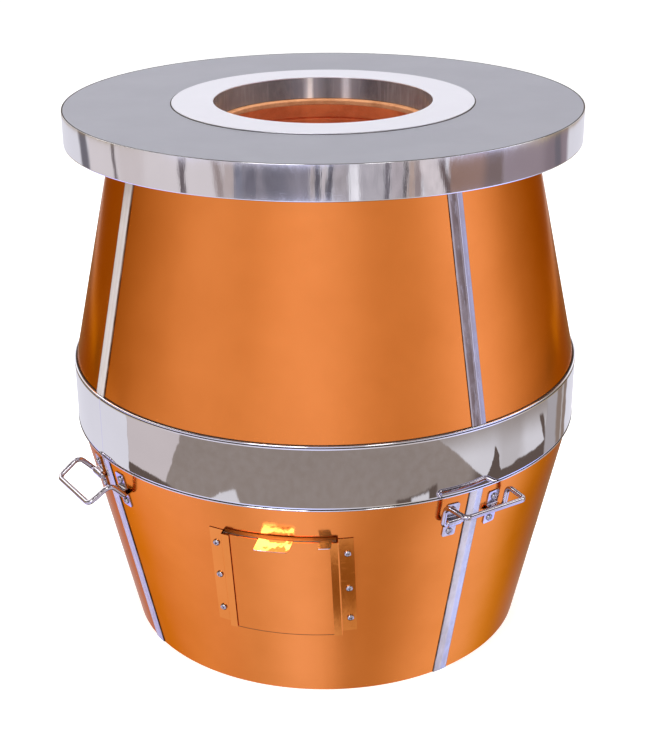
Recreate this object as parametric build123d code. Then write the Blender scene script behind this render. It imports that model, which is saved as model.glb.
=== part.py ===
from build123d import *
from math import asin, atan2, cos, degrees, radians, sin, sqrt
import os

# Charcoal barrel tandoor, millimetres. +Z is up, the origin is the middle of the base
# on the floor, and the draught door faces -Y. An azimuth is turned from -Y towards +X.

# Copper drum: two cones that meet behind the waist band
base_radius = 328.0          # outside of the copper at the floor
waist_radius = 404.5         # outside of the copper behind the band
neck_radius = 328.5          # outside of the copper level with the bottom of the rim
lower_cone_height = 356.0
upper_cone_height = 347.5
copper_thickness = 1.2
seat_gap = 0.1               # left between curved pieces that seat on each other

# Waist band and the hoop behind it
band_height = 103.0
band_standoff = 4.0          # outside of the band over the copper
band_thickness = 1.5
hem_height = 3.0             # rolled edges of the band
hem_rise = 0.5               # rolled edges over the band
hoop_height = 60.0
hoop_thickness = 3.0

# Worktop
rim_radius = 400.0
rim_height = 51.5
rim_lip = 12.0               # turned in under the worktop
steel_thickness = 1.5
mouth_radius = 169.5
mouth_ring_width = 64.0
collar_depth = 34.0          # worktop down to the mortar
collar_flange = 22.5
collar_side_gap = 0.5

# Stiffening angle rings inside the drum
angle_leg = 40.0
angle_thickness = 4.0
base_plate_thickness = 2.0

# Seam straps
seam_phase = 43.0            # azimuth of the front right seam
seam_count = 4
panel_sides = ("right", "rear", "left", "front")   # in turn from the front right seam
strap_width = 25.4
strap_edge_thickness = 1.2
strap_crease = 0.8           # rise of the strap's middle over its edges

# Clay pot, mortar and hearth
hearth_thickness = 60.0
hearth_setback = 56.0        # from the outside of the copper at the floor
pot_foot_radius = 232.0
pot_belly_radius = 290.0
pot_neck_margin = 12.0       # outside of the neck past the collar's flange
pot_belly_height = 350.0     # of the widest place, over the floor
pot_neck_height = 255.5      # of the pot's top course, down from the mortar
pot_wall = 40.0
mortar_reveal = 9.5          # pot and mortar inside the collar
mortar_height = 8.5
mouth_groove_drop = 22.0     # from the mortar down to the groove
mouth_groove_depth = 3.0
mouth_groove_height = 4.5

# Charcoal grate
grate_rise = 20.0            # its underside over the draught opening
grate_thickness = 12.0
grate_edge_gap = 2.0
grate_ledge = 14.0
grate_rim = 16.0
grate_slot = 13.0
grate_pitch = 26.0

# Blanket round the pot
blanket_setback = 12.0       # from the outside of the copper, clear of the screw tails
blanket_gap = 0.3

# Draught opening and the duct to the pot
draught_width = 130.0
draught_height = 130.0
draught_drop = 33.0          # from the guides' top down to the opening
duct_thickness = 2.0
duct_flange = 16.0
duct_gap = 0.3

# Door and its guides; drops are upright, lengths along the wall
guide_drop = 53.0            # from the band down to the guides' top
guide_length = 184.0
guide_step = 85.0            # from the door's middle to the step of the guide
guide_flange = 22.0
guide_lip = 13.0
guide_thickness = 1.2
left_guide_screw_drops = (24.0, 85.5, 151.5)     # from the guides' top
right_guide_screw_drops = (25.5, 92.5, 151.0)
guide_screw_inset = 12.3     # from the step to the screws
door_thickness = 1.2
door_band_gap = 1.1          # between the tabs behind the door and the band, as they pass it
door_lip_gap = 1.0           # between the door and the guides' lips
door_side_gap = 0.6
door_rest_gap = 0.3          # under the stop tab while the door is down
tab_thickness = 1.2
tab_leg = 14.0
pull_tab_left = -30.0
pull_tab_width = 51.5
pull_tab_reach = 24.0
pull_tab_skew = 0.1          # of its sides to the left, for each millimetre of reach
stop_tab_inset = 7.0         # from the guide's step
stop_tab_width = 18.0
stop_tab_reach = 15.0

# Seal strip on the wall behind the door's top edge
seal_height = 16.0
seal_tab_gap = 0.9           # from the seal to the tabs behind the door
seal_side_gap = 0.8          # from the seal to the guides

# Carrying handles
pivot_drop = 44.3            # from the band down to the pivot
pivot_standoff = 5.4         # from the wall at the seam to the middle of the rod
rod_radius = 4.0
pivot_clearance = 0.06
rod_end_reach = 5.6          # cut end of the rod past the bracket, towards the seam
leg_gap = 8.5                # from the bracket to the middle of the leg
leg_length = 35.3
grip_inset = 3.3             # the grip's corners are this much nearer the seam than the legs
grip_reach = 42.6
grip_turn = 80.0             # between the legs and the arms
foot_bend = 6.5
leg_bend = 13.0
grip_bend = 9.0
rest_swing = {"front_right": 0.0, "rear_right": 0.0, "rear_left": 0.0, "front_left": 31.0}

# Handle brackets
bracket_offset = 38.0        # from the seam to the middle of the bracket
bracket_width = 22.0
bracket_height = 60.0
bracket_thickness = 1.8
bracket_corner = 3.0
saddle_thickness = 1.6
bracket_screw_spacing = 40.0

# Pan head screws
screw_head_radius = 5.4
screw_head_height = 3.2
screw_radius = 2.5
screw_length = 10.0
screw_hole_gap = 0.2
screw_head_flat = 3.0        # radius of the flat on top of the head
screw_head_side = 1.1        # height of the head's upright rim
recess_length = 5.2
recess_width = 1.3
recess_depth = 1.4

# Lean of the drum's walls from the vertical, positive outwards
lower_lean = degrees(atan2(waist_radius - base_radius, lower_cone_height))
upper_lean = -degrees(atan2(waist_radius - neck_radius, upper_cone_height))

# Radii that follow
band_radius = waist_radius + band_standoff
hem_radius = band_radius + hem_rise
mouth_ring_radius = mouth_radius + mouth_ring_width
pot_mouth_radius = mouth_radius - mortar_reveal
pot_neck_radius = mouth_radius + collar_flange + pot_neck_margin
hearth_radius = base_radius - hearth_setback

# Heights that follow
band_bottom = lower_cone_height
band_top = band_bottom + band_height
shell_joint = band_bottom + band_height / 2
rim_bottom = band_top + upper_cone_height
worktop = rim_bottom + rim_height
plate_underside = worktop - steel_thickness
hearth_top = base_plate_thickness + hearth_thickness
collar_bottom = worktop - collar_depth
pot_top = collar_bottom - mortar_height
pivot_height = band_bottom - pivot_drop
guide_top = band_bottom - guide_drop
draught_bottom = guide_top - draught_drop - draught_height
grate_height = draught_bottom + draught_height + grate_rise
pot_joint = pot_top - pot_neck_height

# Places on the door, from the wall outwards and from its middle
hem_standoff = (band_standoff + hem_rise) * cos(radians(lower_lean))
door_standoff = hem_standoff + door_band_gap + tab_thickness + seat_gap
guide_depth = door_standoff + door_thickness + door_lip_gap
seal_thickness = door_standoff - seat_gap - tab_thickness - seal_tab_gap
pull_tab_right = pull_tab_left + pull_tab_width
stop_tab_right = guide_step - stop_tab_inset
stop_tab_left = stop_tab_right - stop_tab_width

# Places on a handle, from its seam
rod_end_offset = bracket_offset - bracket_width / 2 - rod_end_reach
leg_offset = bracket_offset + bracket_width / 2 + leg_gap
grip_half_width = leg_offset - grip_inset


def lower_wall(z):
    return base_radius + (waist_radius - base_radius) * z / lower_cone_height


def upper_wall(z):
    return waist_radius - (waist_radius - neck_radius) * (z - band_top) / upper_cone_height


def wall_directions(azimuth, lean):
    """Tangent, way up the wall and outward normal at an azimuth of a leaning wall."""
    turn = radians(azimuth)
    tilt = radians(lean)
    out = Vector(sin(turn), -cos(turn), 0)
    up = Vector(0, 0, 1)
    tangent = Vector(cos(turn), sin(turn), 0)
    return tangent, out * sin(tilt) + up * cos(tilt), out * cos(tilt) - up * sin(tilt)


def wall_point(azimuth, z, radius):
    turn = radians(azimuth)
    return Vector(radius * sin(turn), -radius * cos(turn), z)


def face_plane(azimuth, z):
    """On the lower wall: x along the wall, y up it, z outwards."""
    tangent, _, normal = wall_directions(azimuth, lower_lean)
    return Plane(wall_point(azimuth, z, lower_wall(z)), x_dir=tangent, z_dir=normal)


def section_plane(azimuth, z, radius, lean):
    """Across a wall: x along the wall, y outwards, z down the wall."""
    tangent, rise, _ = wall_directions(azimuth, lean)
    return Plane(wall_point(azimuth, z, radius), x_dir=tangent, z_dir=-rise)


def turned(*corners):
    """A solid turned about Z from corners of radius and height."""
    return revolve(Plane.XZ * Polygon(*corners, align=None), Axis.Z)


def lower_cone(growth):
    """What lies inside the lower wall, grown by so much along its normal."""
    spread = growth / cos(radians(lower_lean))
    low, high = -band_height, band_top
    return turned(
        (0, low),
        (lower_wall(low) + spread, low),
        (lower_wall(high) + spread, high),
        (0, high),
    )


def upper_cone(growth):
    """What lies inside the upper wall, grown by so much along its normal."""
    spread = growth / cos(radians(upper_lean))
    low, high = band_bottom, worktop + rim_height
    return turned(
        (0, low),
        (upper_wall(low) + spread, low),
        (upper_wall(high) + spread, high),
        (0, high),
    )


def layer(low, high):
    """Everything between two heights."""
    side = 4 * waist_radius
    return Pos(0, 0, low) * Box(side, side, high - low, align=(Align.CENTER, Align.CENTER, Align.MIN))


# ---- drum ----


def draught_passage(growth):
    """The straight way in through the shell to the middle of the pot."""
    return Pos(0, 0, draught_bottom - growth) * Box(
        draught_width + 2 * growth,
        2 * waist_radius,
        draught_height + 2 * growth,
        align=(Align.CENTER, Align.MAX, Align.MIN),
    )


def guide_screw_planes():
    """Seats of the guide screws on the guides' flanges."""
    reach = guide_step + guide_screw_inset
    planes = []
    for side, drops in ((-1, left_guide_screw_drops), (1, right_guide_screw_drops)):
        for drop in drops:
            z = guide_top - drop
            azimuth = side * degrees(asin(reach / lower_wall(z)))
            planes.append(face_plane(azimuth, z).offset(guide_thickness))
    return planes


def seam_azimuths():
    """Azimuth of each seam by name."""
    names = ("front_right", "rear_right", "rear_left", "front_left")
    return {name: seam_phase + 360 / seam_count * turn for turn, name in enumerate(names)}


def bracket_plane(azimuth, side):
    """On the wall under the middle of one bracket of the handle at a seam."""
    step = degrees(asin(bracket_offset / lower_wall(pivot_height)))
    return face_plane(azimuth + side * step, pivot_height)


def bracket_screw_planes():
    """Seats of the bracket screws on the brackets' plates."""
    planes = []
    for azimuth in seam_azimuths().values():
        for side in (-1, 1):
            seat = bracket_plane(azimuth, side).offset(bracket_thickness)
            for way in (-1, 1):
                place = seat.from_local_coords((0, way * bracket_screw_spacing / 2))
                planes.append(seat.shift_origin(place))
    return planes


def screw_holes(planes):
    """Clearance holes for screws, right through what they hold."""
    hole = Cylinder(screw_radius + screw_hole_gap, 3 * screw_length)
    return [plane.location * hole for plane in planes]


def panel_turned(turn, *corners):
    """A quarter of a turned shell, from one seam to the next."""
    arc = 360 / seam_count
    start = seam_phase - 90 + turn * arc
    return Rot(0, 0, start) * revolve(Plane.XZ * Polygon(*corners, align=None), Axis.Z, arc)


def lower_panel(turn):
    inside = copper_thickness
    panel = panel_turned(
        turn,
        (base_radius - inside, 0),
        (base_radius, 0),
        (waist_radius, band_bottom),
        (waist_radius, shell_joint),
        (waist_radius - inside, shell_joint),
        (waist_radius - inside, band_bottom),
    )
    panel -= draught_passage(0)
    return panel - screw_holes(guide_screw_planes() + bracket_screw_planes())


def upper_panel(turn):
    inside = copper_thickness
    return panel_turned(
        turn,
        (waist_radius - inside, shell_joint),
        (waist_radius, shell_joint),
        (waist_radius, band_top),
        (upper_wall(plate_underside), plate_underside),
        (upper_wall(plate_underside) - inside, plate_underside),
        (waist_radius - inside, band_top),
    )


def waist_band():
    seat = waist_radius + seat_gap
    inner = band_radius - band_thickness
    return turned(
        (seat, band_bottom),
        (hem_radius, band_bottom),
        (hem_radius, band_bottom + hem_height),
        (band_radius, band_bottom + hem_height),
        (band_radius, band_top - hem_height),
        (hem_radius, band_top - hem_height),
        (hem_radius, band_top),
        (seat, band_top),
        (seat, band_top - band_thickness),
        (inner, band_top - band_thickness),
        (inner, band_bottom + band_thickness),
        (seat, band_bottom + band_thickness),
    )


def waist_hoop():
    outer = waist_radius - copper_thickness - seat_gap
    low = shell_joint - hoop_height / 2
    high = shell_joint + hoop_height / 2
    return turned(
        (outer - hoop_thickness, low),
        (outer, low),
        (outer, high),
        (outer - hoop_thickness, high),
    )


def base_plate():
    radius = base_radius - copper_thickness - seat_gap
    return Cylinder(radius, base_plate_thickness, align=(Align.CENTER, Align.CENTER, Align.MIN))


def base_ring():
    low = base_plate_thickness
    high = low + angle_leg
    inset = copper_thickness + seat_gap
    return turned(
        (lower_wall(low) - inset - angle_leg, low),
        (lower_wall(low) - inset, low),
        (lower_wall(high) - inset, high),
        (lower_wall(high) - inset - angle_thickness, high),
        (lower_wall(low + angle_thickness) - inset - angle_thickness, low + angle_thickness),
        (lower_wall(low) - inset - angle_leg, low + angle_thickness),
    )


def top_support_ring():
    high = plate_underside
    low = high - angle_leg
    inset = copper_thickness + seat_gap
    return turned(
        (upper_wall(high) - inset - angle_leg, high),
        (upper_wall(high) - inset, high),
        (upper_wall(low) - inset, low),
        (upper_wall(low) - inset - angle_thickness, low),
        (upper_wall(high - angle_thickness) - inset - angle_thickness, high - angle_thickness),
        (upper_wall(high) - inset - angle_leg, high - angle_thickness),
    )


def strap_section():
    """Half-buried section of a creased strap; its back is cut to the wall later."""
    half = strap_width / 2
    return Polygon(
        (-half, -strap_width / 4),
        (half, -strap_width / 4),
        (half, strap_edge_thickness),
        (0, strap_edge_thickness + strap_crease),
        (-half, strap_edge_thickness),
        align=None,
    )


def lower_strap(azimuth):
    plane = section_plane(azimuth, band_bottom, lower_wall(band_bottom), lower_lean)
    length = lower_cone_height / cos(radians(lower_lean))
    bar = extrude(plane.offset(-strap_width) * strap_section(), length + 2 * strap_width)
    return (bar - lower_cone(0)) & layer(0, band_bottom)


def upper_strap(azimuth):
    plane = section_plane(azimuth, plate_underside, upper_wall(plate_underside), upper_lean)
    length = (plate_underside - band_top) / cos(radians(upper_lean))
    bar = extrude(plane.offset(-strap_width) * strap_section(), length + 2 * strap_width)
    return (bar - upper_cone(0)) & layer(band_top, plate_underside)


# ---- worktop ----


def rim_hoop():
    inner = rim_radius - steel_thickness
    lip_top = rim_bottom + steel_thickness
    return turned(
        (inner - rim_lip, rim_bottom),
        (rim_radius, rim_bottom),
        (rim_radius, worktop),
        (inner, worktop),
        (inner, lip_top),
        (inner - rim_lip, lip_top),
    )


def flat_ring(inner, outer, low, thickness):
    ring = Circle(outer) - Circle(inner)
    return Pos(0, 0, low) * extrude(ring, thickness)


def top_plate():
    hole = mouth_radius + steel_thickness + collar_side_gap
    return flat_ring(hole, rim_radius - steel_thickness, plate_underside, steel_thickness)


def mouth_ring():
    return flat_ring(mouth_radius, mouth_ring_radius, worktop, steel_thickness)


def mouth_collar():
    outer = mouth_radius + steel_thickness
    return turned(
        (mouth_radius, collar_bottom),
        (mouth_radius + collar_flange, collar_bottom),
        (mouth_radius + collar_flange, collar_bottom + steel_thickness),
        (outer, collar_bottom + steel_thickness),
        (outer, worktop),
        (mouth_radius, worktop),
    )


# ---- pot, hearth and blanket ----


def belly_radius_at(z, belly, end_radius, end_height):
    """Radius at a height of the arc that leaves the belly upright and ends at a point."""
    fall = belly - end_radius
    rise = end_height - pot_belly_height
    bend = (fall * fall + rise * rise) / (2 * fall)
    away = z - pot_belly_height
    return belly - bend + sqrt(bend * bend - away * away)


def jar(foot, belly, neck):
    """A solid jar between the hearth and the mortar, with one arc below its belly and one above."""
    low_middle = (hearth_top + pot_belly_height) / 2
    high_middle = (pot_top + pot_belly_height) / 2
    low_radius = belly_radius_at(low_middle, belly, foot, hearth_top)
    high_radius = belly_radius_at(high_middle, belly, neck, pot_top)
    outline = [
        Line((0, hearth_top), (foot, hearth_top)),
        ThreePointArc((foot, hearth_top), (low_radius, low_middle), (belly, pot_belly_height)),
        ThreePointArc((belly, pot_belly_height), (high_radius, high_middle), (neck, pot_top)),
        Line((neck, pot_top), (0, pot_top)),
        Line((0, pot_top), (0, hearth_top)),
    ]
    return revolve(Plane.XZ * make_face(Wire(outline)), Axis.Z)


def outer_jar(growth):
    return jar(pot_foot_radius + growth, pot_belly_radius + growth, pot_neck_radius + growth)


def inner_jar(inset):
    foot = pot_foot_radius - pot_wall - inset
    belly = pot_belly_radius - pot_wall - inset
    return jar(foot, belly, pot_mouth_radius - inset)


def whole_pot():
    fire_room = inner_jar(0) & layer(grate_height, pot_top)
    ash_room = inner_jar(grate_ledge) & layer(hearth_top, grate_height)
    groove_low = pot_top - mouth_groove_drop - mouth_groove_height
    mouth = belly_radius_at(groove_low, pot_belly_radius - pot_wall, pot_mouth_radius, pot_top)
    groove = Pos(0, 0, groove_low) * Cylinder(
        mouth + mouth_groove_depth,
        mouth_groove_height,
        align=(Align.CENTER, Align.CENTER, Align.MIN),
    )
    pot = outer_jar(0) - fire_room - ash_room - groove
    return pot - draught_passage(duct_thickness + duct_gap)


def pot_courses():
    """The pot's courses: foot, sides of the draught hole, lintel up to the grate, belly, and neck."""
    pot = whole_pot()
    hole_bottom = draught_bottom - duct_thickness - duct_gap
    hole_top = draught_bottom + draught_height + duct_thickness + duct_gap
    return {
        "pot_foot": pot & layer(hearth_top, hole_bottom),
        "pot_cheeks": pot & layer(hole_bottom, hole_top),
        "pot_lintel": pot & layer(hole_top, grate_height),
        "clay_pot": pot & layer(grate_height, pot_joint),
        "pot_neck": pot & layer(pot_joint, pot_top),
    }


def mortar_ring():
    return flat_ring(pot_mouth_radius, pot_neck_radius, pot_top, mortar_height)


def hearth_slab():
    slab = Cylinder(hearth_radius, hearth_thickness, align=(Align.CENTER, Align.CENTER, Align.MIN))
    return Pos(0, 0, base_plate_thickness) * slab


def charcoal_grate():
    foot = pot_foot_radius - pot_wall
    belly = pot_belly_radius - pot_wall
    radius = belly_radius_at(grate_height, belly, foot, hearth_top) - grate_edge_gap
    barred = radius - grate_rim
    rows = int(barred / grate_pitch)
    disc = Circle(radius)
    for row in range(-rows, rows + 1):
        offset = row * grate_pitch
        half = sqrt(barred * barred - offset * offset) - grate_slot / 2
        for side in (-1, 1):
            middle = side * (half + grate_rim / 2) / 2
            disc -= Pos(middle, offset) * SlotOverall(half - grate_rim / 2, grate_slot)
    return Pos(0, 0, grate_height) * extrude(disc, grate_thickness)


def draught_duct():
    face = copper_thickness + seat_gap
    flange = lower_cone(-face) - lower_cone(-face - duct_thickness)
    flange &= draught_passage(duct_flange)
    tube = draught_passage(duct_thickness) & lower_cone(-face)
    middle = draught_bottom + draught_height / 2
    foot = pot_foot_radius - pot_wall - grate_ledge
    belly = pot_belly_radius - pot_wall - grate_ledge
    end = belly_radius_at(middle, belly, foot, hearth_top)
    keep = Pos(0, -end, 0) * Box(
        waist_radius,
        waist_radius,
        4 * draught_height,
        align=(Align.CENTER, Align.MAX, Align.CENTER),
    )
    keep = Pos(0, 0, middle) * keep
    return (tube + flange) & keep - draught_passage(0)


def blanket_core():
    """All that the blanket goes round: pot, mortar, hearth and duct."""
    hearth = Cylinder(hearth_radius + blanket_gap, hearth_top, align=(Align.CENTER, Align.CENTER, Align.MIN))
    neck = Pos(0, 0, pot_top - mortar_height) * Cylinder(
        pot_neck_radius + blanket_gap,
        worktop,
        align=(Align.CENTER, Align.CENTER, Align.MIN),
    )
    return [outer_jar(blanket_gap), hearth, neck]


def lower_blanket():
    low = base_plate_thickness + angle_thickness
    bulk = turned(
        (0, low),
        (lower_wall(low) - blanket_setback, low),
        (waist_radius - blanket_setback, band_bottom),
        (waist_radius - blanket_setback, shell_joint),
        (0, shell_joint),
    )
    return bulk - blanket_core() - draught_passage(duct_thickness + duct_gap)


def upper_blanket():
    high = plate_underside - angle_thickness - blanket_gap
    bulk = turned(
        (0, shell_joint),
        (waist_radius - blanket_setback, shell_joint),
        (waist_radius - blanket_setback, band_top),
        (upper_wall(high) - blanket_setback, high),
        (0, high),
    )
    return bulk - blanket_core()


# ---- door and guides ----


def door_plane():
    """Across the wall at the guides' top end, in line with the door's middle."""
    return section_plane(0, guide_top, lower_wall(guide_top), lower_lean)


def wall_bend():
    """Radius of the wall across the slope, at the middle of the guides."""
    middle = guide_top - guide_length / 2 * cos(radians(lower_lean))
    return lower_wall(middle) / cos(radians(lower_lean))


def door_guide(side):
    """Z-shaped strip: a flange on the wall, a step out from it and a lip over the door's edge."""
    lean = asin(guide_step / wall_bend())
    drop = wall_bend() * (1 - cos(lean))
    fold = Polygon(
        (0, -guide_depth),
        (0, guide_depth + guide_thickness),
        (-guide_lip, guide_depth + guide_thickness),
        (-guide_lip, guide_depth),
        (-guide_thickness, guide_depth),
        (-guide_thickness, -guide_depth),
        align=None,
    )
    fold = Pos(guide_step, -drop) * Rot(0, 0, -degrees(lean)) * fold
    strip = Pos(guide_step - guide_thickness, 0) * Rectangle(
        guide_flange + guide_thickness,
        4 * guide_flange,
        align=(Align.MIN, Align.CENTER),
    )
    flange = (lower_cone(guide_thickness) - lower_cone(0)) & extrude(door_plane() * strip, guide_length)
    step = extrude(door_plane() * fold, guide_length) - lower_cone(0)
    guide = flange + step if side > 0 else mirror(flange + step, Plane.YZ)
    return guide - screw_holes(guide_screw_planes())


def door_sheet(outset, thickness, left, right, skew=0):
    """Section of a sheet curved like the door, set out from the door's inner face.

    Its sides lean to the left by the skew for each millimetre that they reach out.
    """
    bend = wall_bend() + door_standoff
    ring = Circle(bend + outset + thickness) - Circle(bend + outset)
    lean = skew * bend
    window = Polygon(
        (left + lean, 0),
        (right + lean, 0),
        (right - lean, 2 * bend),
        (left - lean, 2 * bend),
        align=None,
    )
    return Pos(0, door_standoff - bend) * (ring & window)


def door_panel():
    half = guide_step - guide_thickness - door_side_gap
    sheet = door_sheet(0, door_thickness, -half, half)
    return extrude(door_plane().offset(-door_rest_gap) * sheet, guide_length + door_rest_gap)


def door_tab(left, right, reach, skew=0):
    """Angle behind the door's top edge, whose flange reaches out over the edge."""
    top = door_plane().offset(-door_rest_gap)
    back = -tab_thickness - seat_gap
    leg = extrude(top * door_sheet(back, tab_thickness, left, right), tab_leg)
    flange = door_sheet(back, door_thickness + reach - back, left, right, skew)
    return leg + extrude(top * flange, -tab_thickness)


def draught_seal():
    """Strip on the wall that closes most of the gap behind the door's top edge."""
    half = guide_step - guide_thickness - seal_side_gap
    strip = extrude(door_plane() * Rectangle(2 * half, 4 * guide_flange), seal_height)
    return (lower_cone(seal_thickness) - lower_cone(0)) & strip


# ---- handles ----


def handle_bail(azimuth, swing):
    """Bent rod: ends turned in along the pivot, two legs, two arms and the grip."""
    leg_turn = radians(swing)
    arm_turn = radians(swing + grip_turn)
    knee = (leg_length * cos(leg_turn), leg_length * sin(leg_turn))
    grip = (knee[0] + grip_reach * cos(arm_turn), knee[1] + grip_reach * sin(arm_turn))
    path = FilletPolyline(
        (-rod_end_offset, 0, 0),
        (-leg_offset, 0, 0),
        (-leg_offset, *knee),
        (-grip_half_width, *grip),
        (grip_half_width, *grip),
        (leg_offset, *knee),
        (leg_offset, 0, 0),
        (rod_end_offset, 0, 0),
        radius=[foot_bend, leg_bend, grip_bend, grip_bend, leg_bend, foot_bend],
    )
    rod = sweep(Plane(path @ 0, z_dir=path % 0) * Circle(rod_radius), path)
    return face_plane(azimuth, pivot_height).offset(pivot_standoff).location * rod


def handle_bracket(azimuth, side):
    """Screwed plate with a half-round saddle over one end of the rod."""
    plane = bracket_plane(azimuth, side)
    plate = extrude(
        plane.offset(-bracket_thickness) * RectangleRounded(bracket_width, bracket_height, bracket_corner),
        2 * bracket_thickness,
    )
    saddle_radius = rod_radius + pivot_clearance + saddle_thickness
    section = Circle(saddle_radius) + Rectangle(
        2 * saddle_radius,
        pivot_standoff + bracket_thickness,
        align=(Align.CENTER, Align.MAX),
    )
    seam = face_plane(azimuth, pivot_height)
    across = Plane(
        seam.from_local_coords((side * bracket_offset, 0, pivot_standoff)),
        x_dir=seam.y_dir,
        z_dir=seam.x_dir,
    )
    saddle = extrude(across * section, bracket_width / 2, both=True)
    bore = across.location * Cylinder(rod_radius + pivot_clearance, 2 * bracket_width)
    bracket = plate + saddle - lower_cone(0) - bore
    return bracket - screw_holes(bracket_screw_planes())


# ---- screws ----


def pan_screw():
    """Seated at the origin, with its tail down and its head up."""
    flat = screw_head_flat
    side = screw_head_side
    outline = Polyline(
        (flat, screw_head_height),
        (0, screw_head_height),
        (0, -screw_length),
        (screw_radius, -screw_length),
        (screw_radius, 0),
        (screw_head_radius, 0),
        (screw_head_radius, side),
    )
    crown = ThreePointArc(
        (screw_head_radius, side),
        ((screw_head_radius + flat) / 2 + side / 2, screw_head_height - side / 2),
        (flat, screw_head_height),
    )
    screw = revolve(Plane.XZ * make_face(outline + crown), Axis.Z)
    slot = Box(recess_length, recess_width, recess_depth, align=(Align.CENTER, Align.CENTER, Align.MAX))
    cross = slot + Rot(0, 0, 90) * slot
    return screw - Pos(0, 0, screw_head_height) * cross


def screws(planes):
    """A screw in each place, each stopped at its own angle."""
    screw = pan_screw()
    step = 360 / (len(planes) + 1)
    return Compound([plane.location * Rot(0, 0, step * turn) * screw for turn, plane in enumerate(planes)])


# ---- all pieces ----


def all_parts():
    """Every piece by its node's name."""
    parts = {
        "base_plate": base_plate(),
        "base_ring": base_ring(),
        "waist_hoop": waist_hoop(),
        "waist_band": waist_band(),
        "top_support_ring": top_support_ring(),
        "rim_hoop": rim_hoop(),
        "top_plate": top_plate(),
        "mouth_ring": mouth_ring(),
        "mouth_collar": mouth_collar(),
        "mortar_ring": mortar_ring(),
        "hearth_slab": hearth_slab(),
        "charcoal_grate": charcoal_grate(),
        "draught_duct": draught_duct(),
        "lower_blanket": lower_blanket(),
        "upper_blanket": upper_blanket(),
        "door_guide_left": door_guide(-1),
        "door_guide_right": door_guide(1),
        "draught_seal": draught_seal(),
        "guide_screws": screws(guide_screw_planes()),
        "bracket_screws": screws(bracket_screw_planes()),
        "door_panel": door_panel(),
        "door_pull_tab": door_tab(pull_tab_left, pull_tab_right, pull_tab_reach, pull_tab_skew),
        "door_stop_tab": door_tab(stop_tab_left, stop_tab_right, stop_tab_reach),
    }
    parts |= pot_courses()
    for turn, side in enumerate(panel_sides):
        parts["lower_panel_" + side] = lower_panel(turn)
        parts["upper_panel_" + side] = upper_panel(turn)
    for name, azimuth in seam_azimuths().items():
        parts["lower_strap_" + name] = lower_strap(azimuth)
        parts["upper_strap_" + name] = upper_strap(azimuth)
        parts["handle_" + name] = handle_bail(azimuth, rest_swing[name])
        parts["bracket_" + name + "_left"] = handle_bracket(azimuth, -1)
        parts["bracket_" + name + "_right"] = handle_bracket(azimuth, 1)
    return parts


os.makedirs("parts", exist_ok=True)
for node, shape in all_parts().items():
    export_step(shape, "parts/" + node + ".step")
    print(node, round(shape.volume), len(shape.solids()))
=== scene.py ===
from math import asin, atan2, cos, degrees, hypot, pi, radians, sin, sqrt, tan
import bmesh
import bpy
from mathutils import Matrix, Vector


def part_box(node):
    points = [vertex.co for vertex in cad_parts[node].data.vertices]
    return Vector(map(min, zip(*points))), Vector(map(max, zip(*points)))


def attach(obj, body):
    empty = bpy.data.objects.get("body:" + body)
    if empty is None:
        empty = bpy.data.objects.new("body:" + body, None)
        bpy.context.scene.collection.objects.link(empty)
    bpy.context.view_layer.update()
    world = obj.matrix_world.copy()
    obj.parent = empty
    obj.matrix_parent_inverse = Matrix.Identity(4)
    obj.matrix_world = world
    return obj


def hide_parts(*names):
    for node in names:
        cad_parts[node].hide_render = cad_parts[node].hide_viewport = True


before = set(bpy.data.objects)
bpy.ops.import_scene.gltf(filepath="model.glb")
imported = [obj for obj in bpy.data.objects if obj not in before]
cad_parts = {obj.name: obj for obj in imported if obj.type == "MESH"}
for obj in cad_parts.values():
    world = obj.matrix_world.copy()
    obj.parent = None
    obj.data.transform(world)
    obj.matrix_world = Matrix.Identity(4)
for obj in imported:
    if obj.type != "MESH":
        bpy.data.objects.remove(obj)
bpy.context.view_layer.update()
print("frame loaded,", len(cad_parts), "nodes")

mm = 0.001

# Shared sizes: heights and outer radii come from the frame, the rest are the drum's own.
# An azimuth is turned from -Y, where the draught door is, towards +X.
bandLow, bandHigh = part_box("waist_band")
rimLow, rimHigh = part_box("rim_hoop")
drum = {
    "baseRadius": 328 * mm,
    "waistRadius": 404.5 * mm,
    "neckRadius": 328.5 * mm,
    "copper": 1.2 * mm,
    "steel": 1.5 * mm,
    "seamAzimuth": 43,
    "bandBottom": bandLow.z,
    "bandTop": bandHigh.z,
    "rimBottom": rimLow.z,
    "worktop": rimHigh.z,
}
lowerLean = atan2(drum["waistRadius"] - drum["baseRadius"], drum["bandBottom"])
upperLean = -atan2(drum["waistRadius"] - drum["neckRadius"], drum["rimBottom"] - drum["bandTop"])
seams = {
    name: drum["seamAzimuth"] + 90 * turn
    for turn, name in enumerate(("front_right", "rear_right", "rear_left", "front_left"))
}
viewAzimuth = 10   # of the camera, and of the middle of the studio round the oven


def lowerWall(z):
    return drum["baseRadius"] + (drum["waistRadius"] - drum["baseRadius"]) * z / drum["bandBottom"]


def upperWall(z):
    rise = (z - drum["bandTop"]) / (drum["rimBottom"] - drum["bandTop"])
    return drum["waistRadius"] + (drum["neckRadius"] - drum["waistRadius"]) * rise


def around(azimuth, radius, z):
    turn = radians(azimuth)
    return Vector((radius * sin(turn), -radius * cos(turn), z))


def wallFrame(azimuth, z, radius, lean, outset=0.0):
    # x runs along the wall, y up it and z out of it
    turn = radians(azimuth)
    out = Vector((sin(turn), -cos(turn), 0))
    up = Vector((0, 0, 1))
    tangent = Vector((cos(turn), sin(turn), 0))
    rise = out * sin(lean) + up * cos(lean)
    normal = out * cos(lean) - up * sin(lean)
    seat = Matrix((tangent, rise, normal)).transposed().to_4x4()
    seat.translation = around(azimuth, radius, z) + normal * outset
    return seat


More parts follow.
